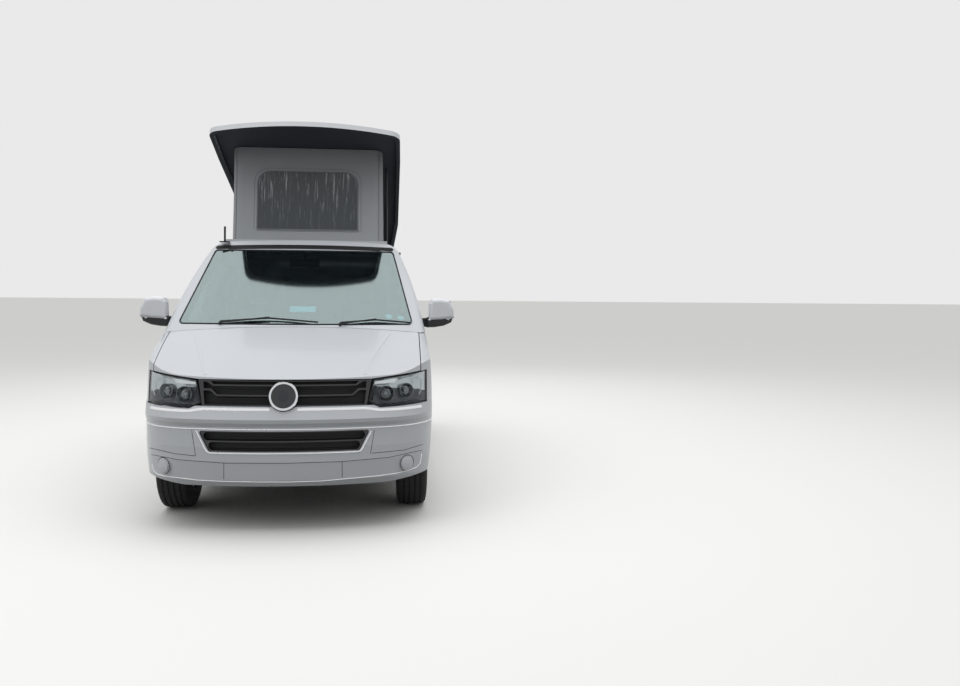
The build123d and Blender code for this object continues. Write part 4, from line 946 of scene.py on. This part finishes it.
# The tyres are moulded rubber with four grooves round the tread, blocks at the shoulders, and a ribbed side wall.
# Each turns with its painted alloy rim, whose cap and five bolts are pieces of their own.
# X from the wheel's middle and radius, from the inner bead over the tread to the middle
TYRE_HALF = ((-0.094, 0.2040), (-0.1035, 0.2140), (-0.1080, 0.2300), (-0.1090, 0.2500), (-0.1076, 0.2515),
             (-0.1082, 0.2750), (-0.1062, 0.2765), (-0.1050, 0.3000), (-0.1000, 0.3210), (-0.0930, 0.3330),
             (-0.0840, 0.3395), (-0.0740, 0.3415), (-0.0610, 0.3424), (-0.0592, 0.3350), (-0.0528, 0.3350),
             (-0.0510, 0.3430), (-0.0240, 0.3438), (-0.0225, 0.3362), (-0.0155, 0.3362), (-0.0140, 0.3440))
TYRE_STEPS = 144
SIPE_EVERY = 3
SIPE_DEPTH = 0.006
# radius above which and X between which the shoulder is cut into blocks
SIPE_FROM = 0.332
SIPE_X = (0.059, 0.095)
WELD = 0.00002
tyre_rubber = grained(finish_of("vulcanised_rubber", "#1d1d1e", 0.78), 0.003, 0.0002, ("#18181a", "#262626"), 0.1)
AXLES = {"front": 0.894 + NOSE_Y, "rear": 3.894 + NOSE_Y}
WHEEL_X = 0.82
HUB_Z = 0.344


def spun(profile, steps):
    """A closed outline of X and radius, spun about the X axis."""
    mesh = bpy.data.meshes.new("spun")
    count = len(profile)
    mesh.from_pydata([(x, 0, r) for x, r in profile], [(i, (i + 1) % count) for i in range(count)], [])
    piece = bpy.data.objects.new("spun", mesh)
    scene.collection.objects.link(piece)
    bpy.context.view_layer.objects.active = piece
    piece.select_set(True)
    bpy.ops.object.mode_set(mode="EDIT")
    bpy.ops.mesh.select_all(action="SELECT")
    bpy.ops.mesh.spin(steps=steps, angle=math.tau, center=(0, 0, 0), axis=(1, 0, 0))
    bpy.ops.mesh.select_all(action="SELECT")
    bpy.ops.mesh.remove_doubles(threshold=WELD)
    bpy.ops.mesh.normals_make_consistent(inside=False)
    bpy.ops.object.mode_set(mode="OBJECT")
    bpy.ops.object.select_all(action="DESELECT")
    return piece


tyre_shape = spun([*TYRE_HALF, *[(-x, r) for x, r in reversed(TYRE_HALF)]], TYRE_STEPS)
for point in tyre_shape.data.vertices:
    radius = math.hypot(point.co.y, point.co.z)
    spoke = round(math.atan2(point.co.z, point.co.y) / math.tau * TYRE_STEPS)
    if radius > SIPE_FROM and SIPE_X[0] < abs(point.co.x) < SIPE_X[1] and spoke % SIPE_EVERY == 0:
        share = (radius - SIPE_DEPTH) / radius
        point.co.y *= share
        point.co.z *= share
alloy = grained(finish_of("silver_painted_alloy", "#b0b4b9", 0.3, 0.7, Coat_Weight=0.5), 0.001, 0.00002)
bolt_steel = grained(finish_of("zinc_plated_bolt", "#8d8f92", 0.35, 0.9), 0.001, 0.00003, ("#86888b", "#94969a"),
                     0.01, (0.28, 0.42))
CAP_X = 0.067
CAP_RADIUS = 0.032
CAP_STEPS = ((0.002, 0.003), (0.010, 0.001), (0.003, -0.002), (0.008, 0.001))
BOLTS = 5
BOLT_RADIUS = 0.0095
BOLT_STEPS = ((0.002, 0.006), (0.002, 0.0), (0.001, -0.003))
BOLT_CIRCLE = 0.056
# thickness of a cap's and a bolt's foot
FOOT_DEPTH = 0.004
for end, axle in AXLES.items():
    for side, sign in (("left", 1), ("right", -1)):
        body = f"wheel_{end}_{side}"
        middle = Vector((sign * WHEEL_X, axle, HUB_Z))
        tyre = bpy.data.objects.new("tyre", tyre_shape.data.copy())
        scene.collection.objects.link(tyre)
        tyre.data.transform(Matrix.Translation(middle))
        finished(tyre, f"tread_tyre_{end}_{side}", tyre_rubber, body, "tyre", 40)
        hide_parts(f"tyre_{end}_{side}")
        dress(alloy, f"rim_{end}_{side}")
        face = middle + Vector((sign * CAP_X, 0, 0))
        cap = facing(stepped(CAP_RADIUS, FOOT_DEPTH, CAP_STEPS), face, (sign, 0, 0))
        finished(cap, f"hub_cap_{end}_{side}", alloy, body, "alloy")
        for index in range(BOLTS):
            angle = index * math.tau / BOLTS
            spot = face + Vector((0, BOLT_CIRCLE * math.cos(angle), BOLT_CIRCLE * math.sin(angle)))
            bolt = facing(stepped(BOLT_RADIUS, FOOT_DEPTH, BOLT_STEPS, 6), spot, (sign, 0, 0))
            finished(bolt, f"wheel_bolt_{end}_{side}_{index}", bolt_steel, body, "alloy")
bpy.data.objects.remove(tyre_shape)

# Inside, the dashboard and the steering wheel are moulded in grained dark plastic. The kitchen unit and the
# bench's base are panels of laminated board.
dash_plastic = grained(finish_of("grained_dash_moulding", "#2a2b2e", 0.6), 0.002, 0.0001)
board = grained(finish_of("laminated_board", "#b5aa9b", 0.45), 0.01, 0.00005, ("#afa494", "#bcb2a3"), 0.4)
dress(dash_plastic, "dashboard", "steering_wheel")
dress(board, "kitchen_unit", "bench_base")

# The seats are foam pads in woven cloth, with sewn panel edges, on the driver's and the passenger's side.
# The rear bench is one wide cushion and back in the same cloth.
seat_cloth = grained(finish_of("woven_seat_cloth", "#35363a", 0.9, Sheen_Weight=0.3), 0.0012, 0.0004,
                     ("#303135", "#3d3e43"), 0.05)
PAD_PRESSURE = 4
PAD_FRAMES = 20
PAD_QUALITY = 4
PAD_SMOOTHING = 4


def pad(low, high, lean, edge, voxel, cap):
    """A foam pad that swells between two corners and leans back by an amount over its height."""
    room = Vector((cap, cap, cap * 0.5))
    piece = rounded_block(Vector(low) + room, Vector(high) - room, edge, 4)
    bpy.context.view_layer.objects.active = piece
    piece.select_set(True)
    remesh = piece.modifiers.new("remesh", "REMESH")
    remesh.mode = "VOXEL"
    remesh.voxel_size = voxel
    bpy.ops.object.modifier_apply(modifier=remesh.name)
    start = [point.co.copy() for point in piece.data.vertices]
    cloth = piece.modifiers.new("swell", "CLOTH")
    cloth.settings.use_pressure = True
    cloth.settings.uniform_pressure_force = PAD_PRESSURE
    cloth.settings.effector_weights.gravity = 0
    cloth.settings.quality = PAD_QUALITY
    for step in range(1, PAD_FRAMES + 1):
        scene.frame_set(step)
    bpy.ops.object.modifier_apply(modifier=cloth.name)
    scene.frame_set(1)
    for point, rest in zip(piece.data.vertices, start):
        move = point.co - rest
        if move.length > cap:
            point.co = rest + move.normalized() * cap
    height = high[2] - low[2]
    for point in piece.data.vertices:
        point.co = Vector([min(b, max(a, c)) for a, b, c in zip(low, high, point.co)])
        point.co.y += lean * (point.co.z - low[2]) / height
    smooth = piece.modifiers.new("smooth", "SMOOTH")
    smooth.iterations = PAD_SMOOTHING
    bpy.ops.object.modifier_apply(modifier=smooth.name)
    bpy.ops.object.select_all(action="DESELECT")
    return piece


def channel(piece, middle, half, width, depth):
    """Presses a sewn line into a pad's surface on each side of an X, across the pad's thickness."""
    for point in piece.data.vertices:
        off = abs(abs(point.co.x - middle) - half) / width
        if off < 1:
            point.co -= point.normal * depth * (1 - off * off)


# low and high corner, lean, edge, voxel, most that a point swells
SEAT_PADS = {
    "cushion": ((0.162, 1.645 + NOSE_Y, 0.776), (0.638, 2.125 + NOSE_Y, 0.899), 0.0, 0.035, 0.009, 0.010),
    "back": ((0.162, 2.033 + NOSE_Y, 0.9005), (0.638, 2.157 + NOSE_Y, 1.428), 0.112, 0.035, 0.009, 0.010),
    "headrest": ((0.272, 2.196 + NOSE_Y, 1.452), (0.528, 2.288 + NOSE_Y, 1.618), 0.018, 0.030, 0.008, 0.006),
}
# middle of the pad and X of the sewn line from it, and the line's half width and depth
SEAT_SEAM = (0.40, 0.150, 0.012, 0.006)
for pad_name, shape in SEAT_PADS.items():
    piece = pad(*shape)
    if pad_name != "headrest":
        channel(piece, *SEAT_SEAM)
    twin = both_sides(piece, f"{pad_name}_left", seat_cloth, "van_body", "seat_cloth", 60)
    for half, node in ((piece, "passenger_seat"), (twin, "driver_seat")):
        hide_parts(node)
BENCH_PADS = {
    "bench_cushion": ((-0.336, 3.284 + NOSE_Y, 0.781), (0.796, 3.856 + NOSE_Y, 0.909), 0.0, 0.035, 0.014, 0.010),
    "bench_back": ((-0.336, 3.763 + NOSE_Y, 0.9105), (0.796, 3.877 + NOSE_Y, 1.418), 0.085, 0.035, 0.014, 0.010),
}
BENCH_SEAM = (0.23, 0.0, 0.014, 0.008)
for pad_name, shape in BENCH_PADS.items():
    piece = pad(*shape)
    channel(piece, *BENCH_SEAM)
    finished(piece, pad_name, seat_cloth, "van_body", "seat_cloth", 60)
    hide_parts("rear_bench")
HEADREST_POST = ((0.345, 2.226 + NOSE_Y, 1.40), (0.357, 2.240 + NOSE_Y, 1.475))
both_sides(rounded_block(*HEADREST_POST, 0.005), "headrest_post_left", bolt_steel, "van_body", "alloy")

# The rear lamps are red mouldings at the body's corners. A clear band, a strip of its own, goes round each from
# the back to the side.
lamp_clear = grained(finish_of("clear_lamp_band", "#d9d9d6", 0.12, Coat_Weight=1.0), 0.004, 0.0001,
                     roughness=(0.08, 0.16))
dress(lamp_red, "rear_lamps")
rear_lamp = surface("rear_lamps")
LAMP_MIDDLE = (0.815, 4.705 + NOSE_Y)
BAND_Z = (1.035, 1.095)
BAND_TURN = math.radians(62)
BAND_LIFT = 0.001
BAND_CROWN = 0.002
BAND_THICKNESS = 0.001


def lamp_band(u, v):
    """A place on the left rear lamp, going from the back round to the side."""
    way = Vector((math.sin(u * BAND_TURN), math.cos(u * BAND_TURN), 0))
    start = Vector((*LAMP_MIDDLE, mix(*BAND_Z, v))) + way
    return meet(rear_lamp, start, -way, BAND_LIFT + BAND_CROWN * math.sin(math.pi * v))


both_sides(shaped_grid(30, 8, lamp_band, BAND_THICKNESS), "rear_lamp_band_left", lamp_clear, "van_body", "lens",
           50)

# The canvas walls of the raised roof are grey proofed cotton, stretched from the frame to the shell. The front
# wall leans back a little and has a window of clear film that has crinkled with folding.
CANVAS_HALF = 0.602
CANVAS_FRONT = 1.717 + NOSE_Y
CANVAS_REAR = 4.348 + NOSE_Y
CANVAS_BASE = 1.9577
CANVAS_LEAN = 0.115
CANVAS_CORNER = 0.07
HINGE_Y = 4.450 + NOSE_Y
CANVAS_TOP_AT_HINGE = 1.9640
RAISED = math.radians(15.9)
CANVAS_ROWS = 28
# steps round a corner, and the longest side of a face along the walls
CORNER_STEPS = 6
CANVAS_FACE = 0.03
# how far the walls sag inwards between their edges, how often in X and Y, and the Y that inwards is towards
SAG = 0.004
SAG_TURNS = (23, 9)
SAG_TOWARDS_Y = 0.6
canvas = grained(finish_of("proofed_grey_canvas", "#999c9f", 0.9, Sheen_Weight=0.1), 0.0016, 0.0004,
                 ("#93969a", "#9fa2a5"), 0.3)


def canvas_outline():
    """The plan of the walls, with rounded corners: a list of X and Y going round."""
    spots = []
    r = CANVAS_CORNER
    for cx, cy, first in ((CANVAS_HALF - r, CANVAS_REAR - r, 0), (-CANVAS_HALF + r, CANVAS_REAR - r, 90),
                          (-CANVAS_HALF + r, CANVAS_FRONT + r, 180), (CANVAS_HALF - r, CANVAS_FRONT + r, 270)):
        for step in range(CORNER_STEPS + 1):
            angle = math.radians(first + step * 90 / CORNER_STEPS)
            spots.append((cx + r * math.cos(angle), cy + r * math.sin(angle)))
    dense = []
    for (x0, y0), (x1, y1) in zip(spots, spots[1:] + spots[:1]):
        count = max(1, round(math.hypot(x1 - x0, y1 - y0) / CANVAS_FACE))
        dense += along([(x0, y0), (x1, y1)], count)
    return dense


def canvas_top(y):
    """The height of the raised roof's lower edge at a Y."""
    return CANVAS_TOP_AT_HINGE + (HINGE_Y - y) * math.tan(RAISED)


outline = canvas_outline()
points, faces = [], []
for row in range(CANVAS_ROWS + 1):
    share = row / CANVAS_ROWS
    for x, y in outline:
        front = max(0.0, min(1.0, (CANVAS_REAR - y) / (CANVAS_REAR - CANVAS_FRONT)))
        at_top = y + CANVAS_LEAN * front
        sag = SAG * math.sin(math.pi * share) * math.sin(x * SAG_TURNS[0] + y * SAG_TURNS[1])
        outward = Vector((x, y - SAG_TOWARDS_Y, 0)).normalized()
        place = Vector((x, mix(y, at_top, share), mix(CANVAS_BASE, canvas_top(at_top), share)))
        points.append(place - outward * abs(sag))
count = len(outline)
for row in range(CANVAS_ROWS):
    for i in range(count):
        after = (i + 1) % count
        faces.append((row * count + i, row * count + after, (row + 1) * count + after, (row + 1) * count + i))
mesh = bpy.data.meshes.new("roof_canvas_walls")
mesh.from_pydata(points, [], faces)
walls = bpy.data.objects.new("roof_canvas_walls", mesh)
scene.collection.objects.link(walls)
finished(walls, "roof_canvas_walls", canvas, "van_body", "canvas", 60)
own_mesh(walls)
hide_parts("roof_canvas")

# The window in the front wall is a sheet of clear film, sewn in behind a welt. It is drawn opaque and dark, as
# painted shade for the dark inside seen through it. Folding has creased it from top to foot, and pale painted
# highlights lie along the creases, most of all near its top edge.
FILM_HALF = 0.397
FILM_Z = (2.046, 2.512)
FILM_CORNER = 0.105
FILM_LIFT = 0.0035
# the film's dark is painted shade, and its pale colour along the creases is a painted highlight
FILM_PAINTED_SHADE = "#2d3438"
FILM_PAINTED_HIGHLIGHT = "#d4dadd"
# width of a crease, and how much its pattern is drawn out in X, Y and Z
FILM_CREASE = 0.016
FILM_RUN = (1.0, 0.3, 0.055)
# detail and roughness of the creases' noise, and the part of it that carries the painted highlight
FILM_NOISE = (6.0, 0.7)
FILM_HIGHLIGHT_PART = (0.54, 0.74)
# heights between which the painted highlight comes in, and the share of it that is there below
FILM_HIGHLIGHT_Z = (2.08, 2.50)
FILM_HIGHLIGHT_LEAST = 0.08
film = grained(finish_of("creased_clear_film", FILM_PAINTED_SHADE, 0.35, Coat_Weight=0.3, Coat_Roughness=0.15), 0.005,
               0.0004)
film_nodes = film.node_tree
film_spot = add_node(film_nodes, "ShaderNodeTexCoord").outputs["Object"]
film_run = add_node(film_nodes, "ShaderNodeMapping", inputs={"Vector": film_spot, "Scale": FILM_RUN})
film_noise = add_node(film_nodes, "ShaderNodeTexNoise",
                      inputs={"Vector": film_run.outputs[0], "Scale": 1 / FILM_CREASE, "Detail": FILM_NOISE[0],
                              "Roughness": FILM_NOISE[1]})
film_highlight_lines = add_node(film_nodes, "ShaderNodeMapRange",
                      inputs={"Value": film_noise.outputs["Fac"], "From Min": FILM_HIGHLIGHT_PART[0],
                              "From Max": FILM_HIGHLIGHT_PART[1]})
film_height = add_node(film_nodes, "ShaderNodeSeparateXYZ", inputs={"Vector": film_spot}).outputs["Z"]
film_highlight_rise = add_node(film_nodes, "ShaderNodeMapRange",
                     inputs={"Value": film_height, "From Min": FILM_HIGHLIGHT_Z[0], "From Max": FILM_HIGHLIGHT_Z[1],
                             "To Min": FILM_HIGHLIGHT_LEAST})
film_highlight_share = add_node(film_nodes, "ShaderNodeMath", {"operation": "MULTIPLY"},
                      {0: film_highlight_lines.outputs[0], 1: film_highlight_rise.outputs[0]})
film_shade = add_node(film_nodes, "ShaderNodeMix", {"data_type": "RGBA"},
                      {0: film_highlight_share.outputs[0], 6: linear(FILM_PAINTED_SHADE), 7: linear(FILM_PAINTED_HIGHLIGHT)})
film_nodes.links.new(film_shade.outputs[2], film_nodes.nodes["Principled BSDF"].inputs["Base Color"])
welt = grained(finish_of("sewn_canvas_welt", "#7c7f83", 0.85), 0.0014, 0.0003)
walls_front = BVHTree.FromPolygons([v.co.copy() for v in walls.data.vertices],
                                   [list(face.vertices) for face in walls.data.polygons])


def film_half(z):
    """Half the film's width at a height, drawn in at the rounded top corners."""
    under = FILM_Z[1] - z
    if under >= FILM_CORNER:
        return FILM_HALF
    return FILM_HALF - FILM_CORNER * (1 - math.sqrt(max(0.0, 1 - ((FILM_CORNER - under) / FILM_CORNER) ** 2)))


# depth of the film's creases, and the number of its faces across and up
CREASE_DEPTH = 0.0026
FILM_GRID = (150, 60)


def film_place(u, v):
    """A place on the film: wide creases that fan out upwards, finer ones on them, and flat at its edge."""
    z = mix(*FILM_Z, v)
    x = (2 * u - 1) * film_half(z)
    fan = x * (0.75 + 0.35 * v)
    crease = abs(math.sin(fan * 67 + math.sin(z * 11) * 0.7 + 0.4)) * (0.55 + 0.45 * math.sin(fan * 29 + 1.3))
    crease += 0.35 * abs(math.sin(fan * 151 + z * 5))
    edge = min(1.0, (1 - abs(2 * u - 1)) * 6, v * 3, (1 - v) * 14)
    return from_front(walls_front, x, z, FILM_LIFT + CREASE_DEPTH * edge * (0.25 + 0.75 * v) * crease)


window = shaped_grid(*FILM_GRID, film_place)
finished(window, "canvas_window", film, "van_body", "canvas", 60)
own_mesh(window)

SEAM_STEPS = 40
TOP_STEPS = 20
FOOT_STEPS = 30
# the height below the top in which the outline is let out less sideways, down to the least share there
SEAM_NARROWS = 0.03
SEAM_LEAST = 0.2
SEAM_LIFT = 0.001
# how far each seam lies outside the film, and its radius
SEAMS = {"window_welt": (0.006, 0.0045), "window_stitch": (0.030, 0.0016)}


def film_edge(grow):
    """The film's outline, let out: up the left, over the top, down the right and back along its foot."""
    left = []
    for step in range(SEAM_STEPS + 1):
        up = math.sin(step / SEAM_STEPS * math.pi / 2)
        z = mix(*FILM_Z, up)
        left.append((film_half(z) + grow * min(1, (FILM_Z[1] - z) / SEAM_NARROWS + SEAM_LEAST), z + grow * up))
    top = [(left[-1][0] * (1 - 2 * i / TOP_STEPS), left[-1][1]) for i in range(1, TOP_STEPS)]
    right = [(-x, z) for x, z in reversed(left)]
    end = FILM_HALF + grow
    foot = [(mix(-end, end, i / FOOT_STEPS), FILM_Z[0] - grow * 0.5) for i in range(1, FOOT_STEPS)]
    return [*left, *top, *right, *foot]


for name, (grow, radius) in SEAMS.items():
    line = [from_front(walls_front, x, z, SEAM_LIFT) for x, z in film_edge(grow)]
    seam = bead(name, line, radius, welt, "van_body", "canvas", closed=True)
    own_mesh(seam)

# A welt runs up each front corner of the canvas, and a stay stands beside it on each side. The real stay folds
# with the roof.
stay_black = grained(finish_of("black_steel_stay", "#14161a", 0.4, 0.3), 0.002, 0.00004)
STAY_X = 0.632
STAY_Y = 2.16 + NOSE_Y
STAY_FOOT_Z = 1.950
STAY_TOP_GAP = 0.012
STAY_LEAN = 0.02
STAY_STEPS = 12
WELT_STEPS = 24
# the line that looks for the canvas's corner starts this far out, and the welt ends short of foot and roof
WELT_START = 0.05
WELT_FOOT_GAP = 0.004
WELT_TOP_GAP = 0.026
# a round corner's middle lies inside its square corner by this share of its radius
CORNER_INSIDE = 0.29
WELT_RADIUS = 0.0035
STAY_RADIUS = 0.009
SLEEVE_RADIUS = 0.013
stay_top = canvas_top(STAY_Y) - STAY_TOP_GAP
corner_x = CANVAS_HALF - CANVAS_CORNER * CORNER_INSIDE + WELT_START
welt_foot = CANVAS_BASE + WELT_FOOT_GAP
welt_top = canvas_top(CANVAS_FRONT + CANVAS_LEAN) - WELT_TOP_GAP
for side, sign in (("left", 1), ("right", -1)):
    inward = Vector((-sign, 1, 0)).normalized()
    line = []
    for step in range(WELT_STEPS + 1):
        share = step / WELT_STEPS
        start = (sign * corner_x, CANVAS_FRONT - WELT_START + CANVAS_LEAN * share, mix(welt_foot, welt_top, share))
        line.append(meet(walls_front, start, inward, SEAM_LIFT))
    stay = [(sign * STAY_X, STAY_Y - STAY_LEAN * (1 - i / STAY_STEPS), mix(STAY_FOOT_Z, stay_top, i / STAY_STEPS))
            for i in range(STAY_STEPS + 1)]
    sleeve = stay[:STAY_STEPS // 2 + 1]
    for name, spots, radius, material in ((f"canvas_corner_welt_{side}", line, WELT_RADIUS, welt),
                                          (f"roof_stay_{side}", stay, STAY_RADIUS, stay_black),
                                          (f"roof_stay_sleeve_{side}", sleeve, SLEEVE_RADIUS, stay_black)):
        made = bead(name, spots, radius, material, "van_body", "black_plastic")
        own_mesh(made)
